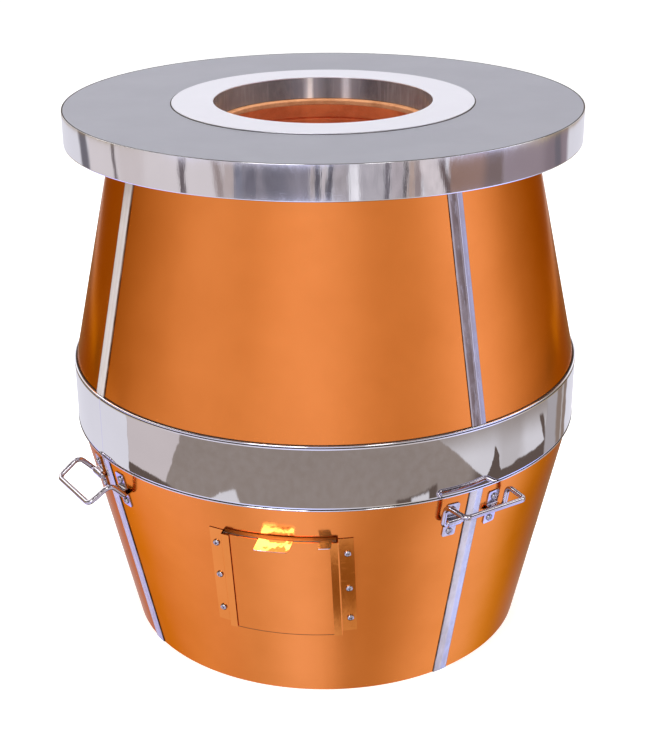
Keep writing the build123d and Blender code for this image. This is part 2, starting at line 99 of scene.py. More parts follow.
# Nodes are written as Python: a Signal is a socket that knows its graph.
class Signal:
    def __init__(self, graph, socket):
        self.graph = graph
        self.socket = socket

    def __add__(self, other):
        return self.graph.maths("ADD", self, other)

    def __sub__(self, other):
        return self.graph.maths("SUBTRACT", self, other)

    def __rsub__(self, other):
        return self.graph.maths("SUBTRACT", other, self)

    def __mul__(self, other):
        return self.graph.maths("MULTIPLY", self, other)

    def __truediv__(self, other):
        return self.graph.maths("DIVIDE", self, other)

    def __rtruediv__(self, other):
        return self.graph.maths("DIVIDE", other, self)

    __radd__ = __add__
    __rmul__ = __mul__


class Graph:
    def __init__(self, tree):
        self.tree = tree
        tree.nodes.clear()

    def node(self, kind, settings=None, sockets=None, output=0):
        made = self.tree.nodes.new(kind)
        for key, value in (settings or {}).items():
            if key == "stops":
                self.fillRamp(made.color_ramp, value)
            else:
                setattr(made, key, value)
        for key, value in (sockets or {}).items():
            socket = made.inputs[key]
            if isinstance(value, Signal):
                self.tree.links.new(value.socket, socket)
            elif socket.type == "RGBA":
                color = value if hasattr(value, "__len__") else (value, value, value)
                socket.default_value = (*color, 1)
            else:
                socket.default_value = value
        return Signal(self, made.outputs[output]) if made.outputs else None

    def fillRamp(self, ramp, stops):
        while len(ramp.elements) < len(stops):
            ramp.elements.new(1)
        for element, (position, color) in zip(ramp.elements, stops):
            element.position = position
            element.color = (*color, 1)

    def maths(self, operation, first, second=0.0):
        return self.node("ShaderNodeMath", {"operation": operation}, {0: first, 1: second})

    def mixed(self, factor, first, second, blend="MIX"):
        # inputs 6 and 7 and output 2 are the colours of the node
        settings = {"data_type": "RGBA", "blend_type": blend}
        return self.node("ShaderNodeMix", settings, {"Factor": factor, 6: first, 7: second}, output=2)

    def ramp(self, value, low, high, start=0.0, stop=1.0):
        # from start to stop, softly, as the value goes from low to high
        settings = {"interpolation_type": "SMOOTHSTEP"}
        sockets = {"Value": value, 1: low, 2: high, 3: start, 4: stop}
        return self.node("ShaderNodeMapRange", settings, sockets)

    def noise(self, coordinates, scale, detail=2.0, roughness=0.5):
        sockets = {"Vector": coordinates, "Scale": scale, "Detail": detail, "Roughness": roughness}
        return self.node("ShaderNodeTexNoise", {}, sockets)

    def objectSpots(self):
        return self.node("ShaderNodeTexCoord", output="Object")

    def stretched(self, coordinates, *scale):
        return self.node("ShaderNodeMapping", {}, {"Vector": coordinates, "Scale": scale})

    def bump(self, height, distance, strength=1.0, under=None):
        sockets = {"Height": height, "Distance": distance, "Strength": strength}
        if under:
            sockets["Normal"] = under
        return self.node("ShaderNodeBump", {}, sockets)


def newMaterial(name):
    material = bpy.data.materials.new(name)
    material.use_nodes = True
    return material, Graph(material.node_tree)


def finishMaterial(graph, sockets):
    shader = graph.node("ShaderNodeBsdfPrincipled", {}, sockets)
    graph.node("ShaderNodeOutputMaterial", {}, {"Surface": shader})


def sheetMetal(name, look):
    # rolled sheet: slow waves from handling, a fine grain, faint clouding and hairline scratches
    material, graph = newMaterial(name)
    spots = graph.objectSpots()
    waves = graph.noise(graph.stretched(spots, 1, 1, look["waveStretch"]), look["waveScale"], 1.0)
    grain = graph.noise(graph.stretched(spots, *look["grainStretch"]), look["grainScale"], 3.0, 0.6)
    clouds = graph.noise(graph.stretched(spots, *look["cloudStretch"]), look["cloudScale"], 4.0, 0.55)
    lines = graph.noise(graph.stretched(spots, *look["scratchStretch"]), look["scratchScale"], 2.0)
    scratches = graph.ramp(lines, *look["scratchEdges"])
    shade = graph.ramp(clouds, *look["cloudEdges"])
    color = graph.mixed(shade, look["darkColor"], look["color"])
    rough = look["roughness"] + (clouds - 0.5) * look["roughnessSpread"]
    rough = rough + scratches * look["scratchRoughness"]
    normal = graph.bump(waves, look["waveHeight"])
    normal = graph.bump(grain - scratches * look["scratchDepth"], look["grainHeight"], 1.0, normal)
    finishMaterial(graph, {
        "Base Color": color,
        "Metallic": 1.0,
        "Roughness": rough,
        "Specular Tint": look["edgeTint"],
        "Normal": normal,
    })
    return material


sheetLook = {
    "color": (0.82, 0.25, 0.05),
    "darkColor": (0.77, 0.228, 0.043),
    "edgeTint": (0.75, 0.5, 0.33),
    "roughness": 0.17,
    "roughnessSpread": 0.04,
    "waveScale": 5.0,
    "waveStretch": 0.35,
    "waveHeight": 0.0012,
    "grainScale": 260.0,
    "grainStretch": (1, 1, 0.12),
    "grainHeight": 0.00003,
    "cloudScale": 9.0,
    "cloudStretch": (1, 1, 1),
    "cloudEdges": (0.3, 0.7),
    "scratchScale": 40.0,
    "scratchStretch": (1, 1, 14),
    "scratchEdges": (0.66, 0.72),
    "scratchDepth": 0.15,
    "scratchRoughness": 0.02,
}
finishes = {
    "copper": sheetLook,
    "polished_copper": sheetLook | {
        "color": (0.86, 0.30, 0.067),
        "darkColor": (0.82, 0.273, 0.055),
        "roughness": 0.07,
        "roughnessSpread": 0.03,
        "waveHeight": 0.0006,
    },
    # darkened copper, painted shade for the gap behind the door's top edge
    "dim_copper": sheetLook | {
        "color": (0.26, 0.20, 0.16),
        "darkColor": (0.20, 0.15, 0.12),
        "edgeTint": (0.4, 0.3, 0.22),
        "roughness": 0.3,
    },
    # near black copper for the strip of painted shade along the door's bottom edge
    "sooted_copper": sheetLook | {
        "color": (0.17, 0.085, 0.05),
        "darkColor": (0.07, 0.04, 0.03),
        "edgeTint": (0.3, 0.2, 0.15),
        "roughness": 0.5,
    },
    # The pull tab: bright white metal whose crisp dark clouding is painted reflection
    "tab_copper": sheetLook | {
        "color": (1.0, 0.98, 0.95),
        "darkColor": (0.30, 0.22, 0.20),
        "edgeTint": (0.95, 0.9, 0.85),
        "roughness": 0.07,
        "roughnessSpread": 0.02,
        "cloudScale": 52.0,
        "cloudEdges": (0.47, 0.55),
        "waveScale": 60.0,
        "waveStretch": 1.0,
        "waveHeight": 0.0005,
    },
    "polished_steel": sheetLook | {
        "color": (0.80, 0.79, 0.81),
        "darkColor": (0.77, 0.76, 0.78),
        "edgeTint": (0.95, 0.95, 0.97),
        "roughness": 0.045,
        "roughnessSpread": 0.02,
        "waveScale": 7.0,
        "waveStretch": 0.8,
        "waveHeight": 0.0007,
        "scratchDepth": 0.03,
        "scratchRoughness": 0.0,
    },
    "band_steel": sheetLook | {
        "color": (0.80, 0.79, 0.82),
        "darkColor": (0.77, 0.76, 0.79),
        "edgeTint": (0.95, 0.95, 0.97),
        "roughness": 0.015,
        "roughnessSpread": 0.01,
        "waveScale": 7.0,
        "waveStretch": 0.8,
        "waveHeight": 0.0005,
        "grainHeight": 0.000008,
        "scratchDepth": 0.0,
        "scratchRoughness": 0.0,
    },
    "bracket_steel": sheetLook | {
        "color": (0.62, 0.59, 0.63),
        "darkColor": (0.44, 0.41, 0.44),
        "edgeTint": (0.9, 0.88, 0.92),
        "roughness": 0.2,
        "waveScale": 70.0,
        "waveStretch": 1.0,
        "waveHeight": 0.0008,
        "cloudScale": 90.0,
    },
    "handle_steel": sheetLook | {
        "color": (0.58, 0.54, 0.58),
        "darkColor": (0.46, 0.42, 0.46),
        "edgeTint": (0.85, 0.82, 0.88),
        "roughness": 0.15,
        "waveScale": 90.0,
        "waveStretch": 1.0,
        "waveHeight": 0.0002,
    },
    "screw_steel": sheetLook | {
        "color": (0.52, 0.49, 0.50),
        "darkColor": (0.38, 0.35, 0.36),
        "edgeTint": (0.85, 0.82, 0.85),
        "roughness": 0.26,
        "waveScale": 200.0,
        "waveStretch": 1.0,
        "waveHeight": 0.0002,
        "cloudScale": 200.0,
    },
    "brushed_steel": sheetLook | {
        "color": (0.62, 0.62, 0.66),
        "darkColor": (0.58, 0.58, 0.62),
        "edgeTint": (0.7, 0.7, 0.73),
        "roughness": 0.42,
        "waveHeight": 0.0003,
        "grainScale": 420.0,
        "grainStretch": (0.04, 1, 1),
        "grainHeight": 0.00006,
        "scratchStretch": (1, 10, 1),
    },
    "bright_brushed_steel": sheetLook | {
        "color": (0.88, 0.87, 0.91),
        "darkColor": (0.85, 0.84, 0.88),
        "edgeTint": (0.95, 0.95, 0.97),
        "roughness": 0.36,
        "waveHeight": 0.0003,
        "grainScale": 420.0,
        "grainStretch": (0.04, 1, 1),
        "grainHeight": 0.00005,
        "scratchStretch": (1, 10, 1),
    },
    "mild_steel": sheetLook | {
        "color": (0.25, 0.25, 0.26),
        "darkColor": (0.17, 0.17, 0.18),
        "edgeTint": (0.6, 0.6, 0.6),
        "roughness": 0.45,
        "cloudScale": 60.0,
    },
}


def earth(name, look):
    # clay, mortar, brick, iron or blanket: soft mottling over a gritty or hairy surface
    material, graph = newMaterial(name)
    spots = graph.objectSpots()
    mottle = graph.noise(spots, look["mottleScale"], 5.0, 0.6)
    grit = graph.noise(graph.stretched(spots, *look["gritStretch"]), look["gritScale"], 4.0, 0.7)
    color = graph.mixed(graph.ramp(mottle, *look["mottleEdges"]), look["darkColor"], look["color"])
    flecks = graph.ramp(grit, *look["fleckEdges"]) * look["fleck"]
    color = graph.mixed(flecks, color, look["fleckColor"])
    normal = graph.bump(mottle, look["mottleHeight"])
    normal = graph.bump(grit, look["gritHeight"], 1.0, normal)
    rough = look["roughness"] + (grit - 0.5) * look["roughnessSpread"]
    finishMaterial(graph, {
        "Base Color": color,
        "Metallic": look["metallic"],
        "Roughness": rough,
        "Normal": normal,
    })
    return material


earthLook = {
    "color": (0.96, 0.27, 0.095),
    "darkColor": (0.70, 0.16, 0.055),
    "fleckColor": (0.85, 0.40, 0.20),
    "fleck": 0.5,
    "fleckEdges": (0.55, 0.75),
    "metallic": 0.0,
    "roughness": 0.85,
    "roughnessSpread": 0.1,
    "mottleEdges": (0.32, 0.68),
    "mottleScale": 14.0,
    "mottleHeight": 0.003,
    "gritScale": 240.0,
    "gritStretch": (1, 1, 2.2),
    "gritHeight": 0.0006,
}
earths = {
    "clay": earthLook,
    "mortar": earthLook | {
        "color": (0.62, 0.29, 0.14),
        "darkColor": (0.46, 0.19, 0.08),
        "fleckColor": (0.74, 0.44, 0.26),
        "mottleScale": 40.0,
        "mottleHeight": 0.001,
    },
    "fire_brick": earthLook | {
        "color": (0.58, 0.43, 0.28),
        "darkColor": (0.40, 0.28, 0.18),
        "fleckColor": (0.70, 0.58, 0.42),
    },
    "cast_iron": earthLook | {
        "color": (0.09, 0.085, 0.08),
        "darkColor": (0.045, 0.042, 0.04),
        "fleckColor": (0.22, 0.16, 0.12),
        "fleck": 0.3,
        "metallic": 0.6,
        "roughness": 0.62,
        "mottleScale": 50.0,
        "mottleHeight": 0.0006,
        "gritScale": 500.0,
        "gritHeight": 0.0003,
    },
    # near black, for the rings of painted shade in the joints
    "sealant": earthLook | {
        "color": (0.035, 0.025, 0.02),
        "darkColor": (0.02, 0.015, 0.012),
        "fleckColor": (0.08, 0.06, 0.05),
    },
    "fibre_blanket": earthLook | {
        "color": (0.84, 0.82, 0.77),
        "darkColor": (0.70, 0.68, 0.62),
        "fleckColor": (0.92, 0.91, 0.88),
        "roughness": 0.95,
        "mottleScale": 30.0,
        "gritScale": 320.0,
        "gritStretch": (1, 0.15, 1),
        "gritHeight": 0.001,
    },
}


wear = {
    # what every strap and the collar share
    "streakStretch": 0.07,
    "streakScale": 190.0,
    "streakEdges": (0.56, 0.70),
    "streakHeight": 0.0002,
    "patchStretch": 0.5,
    "patchScale": 38.0,
    "patchEdges": (0.42, 0.68),
    "roughness": 0.2,
    "roughnessSpread": 0.2,
    "edgeTint": (0.9, 0.9, 0.92),
}


def strapSteel(name, look):
    # a strip: bands of colour across it, which are painted reflections and painted highlights of its
    # facets with painted shade at its edges, and random patches and streaks along it
    material, graph = newMaterial(name)
    spots = graph.objectSpots()
    across = graph.node("ShaderNodeAttribute", {"attribute_name": "across"}, output="Fac")
    streaks = graph.noise(graph.stretched(spots, 1, 1, wear["streakStretch"]), wear["streakScale"], 2.0)
    patchSpots = graph.stretched(spots, 1, 1, wear["patchStretch"])
    patches = graph.noise(patchSpots, wear["patchScale"], 4.0, 0.65)
    across = across + (streaks - 0.5) * look["waver"]
    # the bands across the strap are painted reflections of its facets and painted shade at its edges
    shade = graph.node("ShaderNodeValToRGB", {"stops": look["bands"]}, {"Fac": across / 2 + 0.5})
    wearAndPaintedTone = graph.ramp(patches, *wear["patchEdges"]) * look["patchiness"]
    shade = graph.mixed(wearAndPaintedTone, shade, look["patchColor"])
    streaked = graph.ramp(streaks, *wear["streakEdges"]) * look["streakiness"]
    shade = graph.mixed(streaked, shade, look["streakColor"])
    finishMaterial(graph, {
        "Base Color": shade,
        "Metallic": look["metallic"],
        "Roughness": wear["roughness"] + (patches - 0.5) * wear["roughnessSpread"],
        "Specular Tint": wear["edgeTint"],
        "Normal": graph.bump(streaks, wear["streakHeight"]),
    })
    return material


# Colours across each strap and the collar, from edge to edge: painted reflections and painted highlights
# of their facets, and painted shade at the strap edges
straps = {
    "upper_strap_steel": {
        "waver": 0.10,
        "metallic": 1.0,
        "bands": (
            (0.0, (0.10, 0.08, 0.07)), (0.03, (0.50, 0.44, 0.40)), (0.08, (0.40, 0.34, 0.31)),
            (0.15, (0.20, 0.15, 0.13)), (0.45, (0.15, 0.11, 0.09)), (0.55, (0.30, 0.24, 0.21)),
            (0.60, (0.09, 0.07, 0.06)), (0.63, (0.70, 0.67, 0.67)), (0.67, (0.36, 0.33, 0.34)),
            (0.72, (0.33, 0.31, 0.36)), (0.95, (0.40, 0.38, 0.43)), (1.0, (0.2, 0.18, 0.2)),
        ),
        "patchiness": 0.5,
        "patchColor": (0.34, 0.29, 0.27),
        "streakiness": 0.3,
        "streakColor": (0.55, 0.52, 0.53),
    },
    "pale_strap_steel": {
        "waver": 0.05,
        "metallic": 0.35,
        "bands": (
            (0.0, (0.2, 0.17, 0.16)), (0.04, (0.45, 0.40, 0.38)), (0.1, (0.86, 0.80, 0.84)),
            (0.5, (0.92, 0.87, 0.91)), (0.56, (0.78, 0.73, 0.76)), (0.9, (0.90, 0.86, 0.92)),
            (0.96, (0.35, 0.25, 0.2)), (1.0, (0.10, 0.06, 0.04)),
        ),
        "patchiness": 0.3,
        "patchColor": (0.66, 0.60, 0.59),
        "streakiness": 0.2,
        "streakColor": (0.95, 0.92, 0.93),
    },
    # The collar: dark painted reflection of the pot inside, with two white streaks of painted highlight
    "collar_steel": {
        "waver": 0.015,
        "metallic": 0.15,
        "bands": (
            (0.0, (0.15, 0.13, 0.13)), (0.12, (0.22, 0.20, 0.20)), (0.3, (0.13, 0.125, 0.14)),
            (0.40, (0.24, 0.24, 0.28)), (0.42, (0.55, 0.56, 0.62)), (0.43, (1.0, 1.0, 1.0)),
            (0.444, (1.0, 1.0, 1.0)), (0.455, (0.36, 0.37, 0.42)), (0.52, (0.16, 0.16, 0.18)),
            (0.585, (0.26, 0.26, 0.30)), (0.605, (0.78, 0.79, 0.86)), (0.62, (0.74, 0.76, 0.84)),
            (0.64, (0.28, 0.28, 0.32)), (0.72, (0.11, 0.105, 0.12)), (0.88, (0.20, 0.17, 0.17)),
            (1.0, (0.17, 0.14, 0.14)),
        ),
        "patchiness": 0.25,
        "patchColor": (0.34, 0.30, 0.29),
        "streakiness": 0.12,
        "streakColor": (0.5, 0.48, 0.50),
    },
    "lower_strap_steel": {
        "waver": 0.05,
        "metallic": 0.5,
        "bands": (
            (0.0, (0.06, 0.05, 0.05)), (0.035, (0.08, 0.06, 0.06)), (0.06, (0.52, 0.47, 0.45)),
            (0.3, (0.60, 0.55, 0.53)), (0.52, (0.62, 0.575, 0.56)), (0.56, (0.52, 0.51, 0.53)),
            (0.75, (0.48, 0.48, 0.52)), (0.92, (0.56, 0.54, 0.56)), (0.965, (0.30, 0.27, 0.27)),
            (1.0, (0.06, 0.05, 0.05)),
        ),
        "patchiness": 0.5,
        "patchColor": (0.34, 0.294, 0.246),
        "streakiness": 0.25,
        "streakColor": (0.74, 0.686, 0.616),
    },
}
materials = {name: sheetMetal(name, look) for name, look in finishes.items()}
materials |= {name: strapSteel(name, look) for name, look in straps.items()}
materials |= {name: earth(name, look) for name, look in earths.items()}
print("materials made:", len(materials))


# Mesh helpers
def rounded(corners, parts=5):
    # an outline through corners of (x, y, radius of the bend there)
    points = []
    for index, (x, y, radius) in enumerate(corners):
        here = Vector((x, y))
        if not radius:
            points.append(here)
            continue
        before = (Vector(corners[index - 1][:2]) - here).normalized()
        after = (Vector(corners[(index + 1) % len(corners)][:2]) - here).normalized()
        turn = pi - before.angle(after)
        reach = radius * tan(turn / 2)
        centre = here + (before + after).normalized() * hypot(reach, radius)
        arm = here + before * reach - centre
        way = 1 if before.x * after.y - before.y * after.x < 0 else -1
        for part in range(parts + 1):
            bend = way * turn * part / parts
            points.append(centre + Vector((
                arm.x * cos(bend) - arm.y * sin(bend),
                arm.x * sin(bend) + arm.y * cos(bend),
            )))
    return points


def arcPoints(centre, radius, start, stop, count):
    # points of an arc in a plane, with its angles in degrees
    angles = [radians(start + (stop - start) * part / count) for part in range(count + 1)]
    return [Vector((centre[0] + radius * cos(a), centre[1] + radius * sin(a))) for a in angles]


def cornerCut(corner, edge):
    # how much a rounded corner takes off, so far from the edge
    inside = max(0, min(corner, corner - edge))
    return corner - sqrt(corner * corner - inside * inside)


def loft(rings, closed=False):
    # outlines of equal length joined by quads; an open loft gets its two end faces
    count = len(rings[0])
    vertices = [point for ring in rings for point in ring]
    faces = []
    for index in range(len(rings) if closed else len(rings) - 1):
        here = index * count
        there = (index + 1) % len(rings) * count
        for side in range(count):
            other = (side + 1) % count
            faces.append((here + side, here + other, there + other, there + side))
    if not closed:
        faces.append(tuple(range(count)))
        faces.append(tuple(range(len(vertices) - count, len(vertices)))[::-1])
    return vertices, faces


def lathe(outline, sides=288):
    # an outline of (radius, height) turned all the way round
    rings = [[around(360 * side / sides, p[0], p[1]) for p in outline] for side in range(sides)]
    return loft(rings, closed=True)


def writeAcross(piece, direction, half):
    # how far each point lies along a direction, as a share of half the width
    across = piece.data.attributes.new("across", "FLOAT", "POINT")
    shares = [vertex.co.dot(direction) / half for vertex in piece.data.vertices]
    across.data.foreach_set("value", shares)


def bakeModifiers(piece):
    evaluated = bpy.context.evaluated_depsgraph_get()
    mesh = bpy.data.meshes.new_from_object(piece.evaluated_get(evaluated), depsgraph=evaluated)
    old = piece.data
    piece.modifiers.clear()
    piece.data = mesh
    bpy.data.meshes.remove(old)
    mesh.name = piece.name


def addObject(name, data):
    made = bpy.data.objects.new(name, data)
    bpy.context.collection.objects.link(made)
    return made


def cleanMesh(mesh):
    # doubles merged and faces turned outwards
    work = bmesh.new()
    work.from_mesh(mesh)
    bmesh.ops.remove_doubles(work, verts=work.verts, dist=0.001 * mm)
    bmesh.ops.recalc_face_normals(work, faces=work.faces)
    work.to_mesh(mesh)
    work.free()


def newPiece(name, vertices, faces):
    mesh = bpy.data.meshes.new(name)
    mesh.from_pydata(vertices, [], faces)
    cleanMesh(mesh)
    return addObject(name, mesh)


softEdges = {
    "sharpAngle": 35,    # degrees past which an edge is shaded sharp
    "bevelAngle": 50,    # degrees past which it is rounded, where a piece asks for it
    "bevelSteps": 2,
}


def smoothPiece(piece, edge=0.0, cutter=None, sharp=softEdges["sharpAngle"]):
    # cuts, softened edges and smooth shading, all turned into plain mesh
    mesh = piece.data
    mesh.polygons.foreach_set("use_smooth", [True] * len(mesh.polygons))
    mesh.set_sharp_from_angle(angle=radians(sharp))
    if cutter:
        cut = piece.modifiers.new("cut", "BOOLEAN")
        cut.object = cutter
        cut.solver = "EXACT"
    if edge:
        bevel = piece.modifiers.new("edges", "BEVEL")
        bevel.width = edge
        bevel.segments = softEdges["bevelSteps"]
        bevel.limit_method = "ANGLE"
        bevel.angle_limit = radians(softEdges["bevelAngle"])
        bevel.harden_normals = True
    weigh = piece.modifiers.new("weigh", "WEIGHTED_NORMAL")
    weigh.mode = "FACE_AREA_WITH_ANGLE"
    weigh.keep_sharp = True
    bakeModifiers(piece)
    if cutter:
        bpy.data.objects.remove(cutter)


def place(piece, slot, body, *nodes, material=None):
    # finish, CAD nodes that it stands for, and body that it rides on
    piece.data.materials.clear()
    piece.data.materials.append(materials[material or slot])
    if nodes:
        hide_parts(*nodes)
    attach(piece, body)


# Copper panels: a quarter of each cone, from seam to seam
panel = {
    "columns": 60,
    "openingHalf": 65 * mm,
    "openingLow": 140 * mm,
    "openingHigh": 270 * mm,
    "openingShare": 0.25,     # of the columns on either side of the middle, for the draught hole
    "jointHeight": 407.5 * mm,
    "upperRows": 3,
}


def sheetGrid(rows, columns, thickness, hole=None):
    # a sheet from a grid of (outer point, outward normal), with the cells of a hole left out
    outer = [[spot(row, column) for column in columns] for row, spot in rows]
    width = len(columns)
    vertices = [point for line in outer for point, normal in line]
    vertices += [point - normal * thickness for line in outer for point, normal in line]
    behind = len(rows) * width
    cells = set()
    for row in range(len(rows) - 1):
        for column in range(width - 1):
            sides = (rows[row][0], rows[row + 1][0], columns[column], columns[column + 1])
            if not (hole and hole(*sides)):
                cells.add((row, column))
    faces = []
    for row, column in cells:
        here = row * width + column
        corners = (here, here + 1, here + width + 1, here + width)
        faces.append(corners)
        faces.append(tuple(corner + behind for corner in reversed(corners)))
        edges = {
            (row - 1, column): corners[0:2],
            (row, column + 1): corners[1:3],
            (row + 1, column): corners[2:4],
            (row, column - 1): (corners[3], corners[0]),
        }
        for neighbour, (first, second) in edges.items():
            if neighbour not in cells:
                faces.append((second, first, first + behind, second + behind))
    return vertices, faces


def panelRow(z, radius, lean, shape):
    # spots along one height of a panel; shape gives the azimuth of a column at a radius
    def spot(height, column):
        azimuth = shape(column, radius)
        turn = radians(azimuth)
        normal = Vector((sin(turn) * cos(lean), -cos(turn) * cos(lean), -sin(lean)))
        return around(azimuth, radius, height), normal
    return z, spot


def copperPanel(level, side, turn):
    # a column runs from -1 at the left seam to 1 at the right one
    reach = 45
    middle = drum["seamAzimuth"] + reach + 2 * reach * turn
    columns = [-1 + 2 * step / panel["columns"] for step in range(panel["columns"] + 1)]
    nearHole = panel["openingShare"]
    columns = sorted(set(columns + [-nearHole, nearHole]))

    def withHole(column, radius):
        edge = asin(panel["openingHalf"] / radius) / radians(reach)
        if abs(column) <= nearHole:
            return middle + reach * column / nearHole * edge
        past = (abs(column) - nearHole) / (1 - nearHole)
        return middle + reach * (edge + (1 - edge) * past) * (1 if column > 0 else -1)

    def plain(column, radius):
        return middle + reach * column

    pierced = level == "lower" and side == "front"
    shape = withHole if pierced else plain
    if level == "lower":
        heights = [0, panel["openingLow"], panel["openingHigh"], drum["bandBottom"]]
        rows = [panelRow(z, lowerWall(z), lowerLean, shape) for z in heights]
        rows.append(panelRow(panel["jointHeight"], drum["waistRadius"], 0, shape))
    else:
        rise = drum["worktop"] - drum["steel"] - drum["bandTop"]
        parts = panel["upperRows"]
        heights = [drum["bandTop"] + rise * part / parts for part in range(parts + 1)]
        rows = [panelRow(panel["jointHeight"], drum["waistRadius"], 0, shape)]
        rows += [panelRow(z, upperWall(z), upperLean, shape) for z in heights]

    def hole(low, high, left, right):
        inside = low >= panel["openingLow"] and high <= panel["openingHigh"]
        return inside and left >= -nearHole and right <= nearHole

    name = level + "_panel_" + side
    sheet = sheetGrid(rows, columns, drum["copper"], hole if pierced else None)
    piece = newPiece("copper_" + name, *sheet)
    smoothPiece(piece)
    place(piece, "copper", "drum", name)


for turn, side in enumerate(("right", "rear", "left", "front")):
    copperPanel("lower", side, turn)
    copperPanel("upper", side, turn)
print("copper panels made")


# Waist band: one strip with beaded edges, whose ends lap at the front left seam
band = {
    "radius": 408.5 * mm,
    "clearance": 0.1 * mm,   # from the shells inside it
    "bead": 1.5 * mm,
    "beadTurn": 62,          # degrees that a bead's bend goes round past level
    "beadRim": 1 * mm,       # flat edge inside a bead
    "neckNear": 3.6 * mm,    # where the bead has run down to the flat face
    "neckFar": 6 * mm,
    "chamfer": 0.2 * mm,
    "lap": 0.45 * mm,        # step at the lap
    "lapStart": -47,         # azimuth of the visible end of the strip
    "lapOver": 0.4,          # degrees by which the end runs past its start
    "ramp": 12,              # degrees over which the strip climbs onto itself
    "sides": 360,
}


def waistBand():
    # the lower bead's half of the outline; the upper one is the same, upside down
    inner = drum["waistRadius"] + band["clearance"]
    low, high = drum["bandBottom"], drum["bandTop"]
    beadCentre = bandHigh.x - band["bead"]
    half = [Vector((inner, low + band["chamfer"])), Vector((beadCentre - band["beadRim"], low))]
    half += arcPoints((beadCentre, low + band["bead"]), band["bead"], -90, band["beadTurn"], 8)
    half += [Vector((band["radius"], low + run)) for run in (band["neckNear"], band["neckFar"])]
    outline = half + [Vector((p.x, low + high - p.y)) for p in reversed(half)]
    rings = []
    for side in range(band["sides"] + 1):
        azimuth = band["lapStart"] + 360 * side / band["sides"]
        climb = band["lap"] * max(0, 1 - 360 * (1 - side / band["sides"]) / band["ramp"])
        if side == band["sides"]:
            azimuth += band["lapOver"]
        rings.append([around(azimuth, p.x + climb * (p.x > inner), p.y) for p in outline])
    piece = newPiece("polished_waist_band", *loft(rings))
    smoothPiece(piece)
    place(piece, "polished_steel", "drum", "waist_band", material="band_steel")


waistBand()


# Seam straps: folded strips with a shallow crease
strap = {
    "width": 25.4 * mm,
    "edge": 1.2 * mm,
    "crease": 0.8 * mm,
    "bend": 0.5 * mm,
    "sharpAngle": 4,      # degrees, so that the shallow crease is shaded sharp
}


def seamStrap(level, name):
    azimuth = seams[name]
    half = strap["width"] / 2
    if level == "lower":
        ends = [(z, lowerWall(z), lowerLean) for z in (0, drum["bandBottom"])]
    else:
        heights = (drum["bandTop"], drum["worktop"] - drum["steel"])
        ends = [(z, upperWall(z), upperLean) for z in heights]
    sag = half * half / (2 * drum["waistRadius"])
    section = rounded([
        (-half, -sag, 0),
        (half, -sag, 0),
        (half, strap["edge"], strap["bend"]),
        (0, strap["edge"] + strap["crease"], 0),
        (-half, strap["edge"], strap["bend"]),
    ])
    rings = []
    for z, radius, lean in ends:
        # cut level at its ends, so its thickness is laid off level too
        along = around(azimuth + 90, 1, 0)
        outwards = around(azimuth, 1, 0) / cos(lean)
        foot = around(azimuth, radius, z)
        rings.append([foot + along * p.x + outwards * p.y for p in section])
    piece = newPiece(level + "_seam_strap_" + name, *loft(rings))
    smoothPiece(piece, sharp=strap["sharpAngle"])
    writeAcross(piece, around(azimuth + 90, 1, 0), half)
    # the upper left straps get the pale look, which is painted light; the rest get the painted reflections
    # of their level
    wearAndPaintedTone = "pale" if level == "upper" and name.endswith("left") else level
    place(piece, "strap_steel", "drum", level + "_strap_" + name, material=wearAndPaintedTone + "_strap_steel")


for name in seams:
    seamStrap("lower", name)
    seamStrap("upper", name)
print("band and straps made")


# Worktop: rim hoop, plate, mouth ring and collar
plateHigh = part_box("top_plate")[1]
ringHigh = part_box("mouth_ring")[1]
collarLow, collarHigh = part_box("mouth_collar")
top = {
    "mouthRadius": 169.5 * mm,
    "rimLip": 12 * mm,
    "rimBend": 2.2 * mm,
    "rimEdge": 0.7 * mm,
    "rimInnerEdge": 0.5 * mm,
    "rimInnerBend": 0.8 * mm,
    "edgeGap": 0.35 * mm,     # dark line between plate and rim
    "plateEdge": 0.4 * mm,
    "collarGap": 0.5 * mm,
    "grooveInset": 0.2 * mm,
    "grooveWidth": 1.1 * mm,  # dark line round the mouth ring
    "grooveDepth": 0.7 * mm,
    "grooveEdge": 0.25 * mm,
    "grooveBend": 0.1 * mm,
    "ringGap": 0.02 * mm,     # under the mouth ring
    "ringEdge": 0.45 * mm,
    "ringInnerEdge": 0.6 * mm,
    "collarBend": 1.6 * mm,
    "sides": 288,
    "rimSides": 360,
}
grooveIn = ringHigh.x - top["grooveInset"]
grooveOut = grooveIn + top["grooveWidth"]
plateRadius = plateHigh.x - top["edgeGap"]


def rimHoop():
    steel, low = drum["steel"], drum["rimBottom"]
    outer, inner = rimHigh.x, rimHigh.x - steel
    rim = rounded([
        (inner - top["rimLip"], low, 0),
        (outer, low, top["rimBend"]),
        (outer, drum["worktop"], top["rimEdge"]),
        (inner, drum["worktop"], top["rimInnerEdge"]),
        (inner, low + steel, top["rimInnerBend"]),
        (inner - top["rimLip"], low + steel, 0),
    ])
    piece = newPiece("polished_rim", *lathe(rim, top["rimSides"]))
    smoothPiece(piece)
    place(piece, "polished_steel", "drum", "rim_hoop")


def topPlate():
    high = drum["worktop"]
    low = high - drum["steel"]
    hole = top["mouthRadius"] + drum["steel"] + top["collarGap"]
    grooveFloor = high - top["grooveDepth"]
    plate = rounded([
        (hole, low, 0),
        (plateRadius, low, 0),
        (plateRadius, high, top["plateEdge"]),
        (grooveOut, high, top["grooveEdge"]),
        (grooveOut, grooveFloor, top["grooveBend"]),
        (grooveIn, grooveFloor, top["grooveBend"]),
        (grooveIn, high, top["grooveBend"]),
        (hole, high, 0),
    ])
    piece = newPiece("brushed_top_plate", *lathe(plate, top["sides"]))
    smoothPiece(piece)
    place(piece, "brushed_steel", "drum", "top_plate")


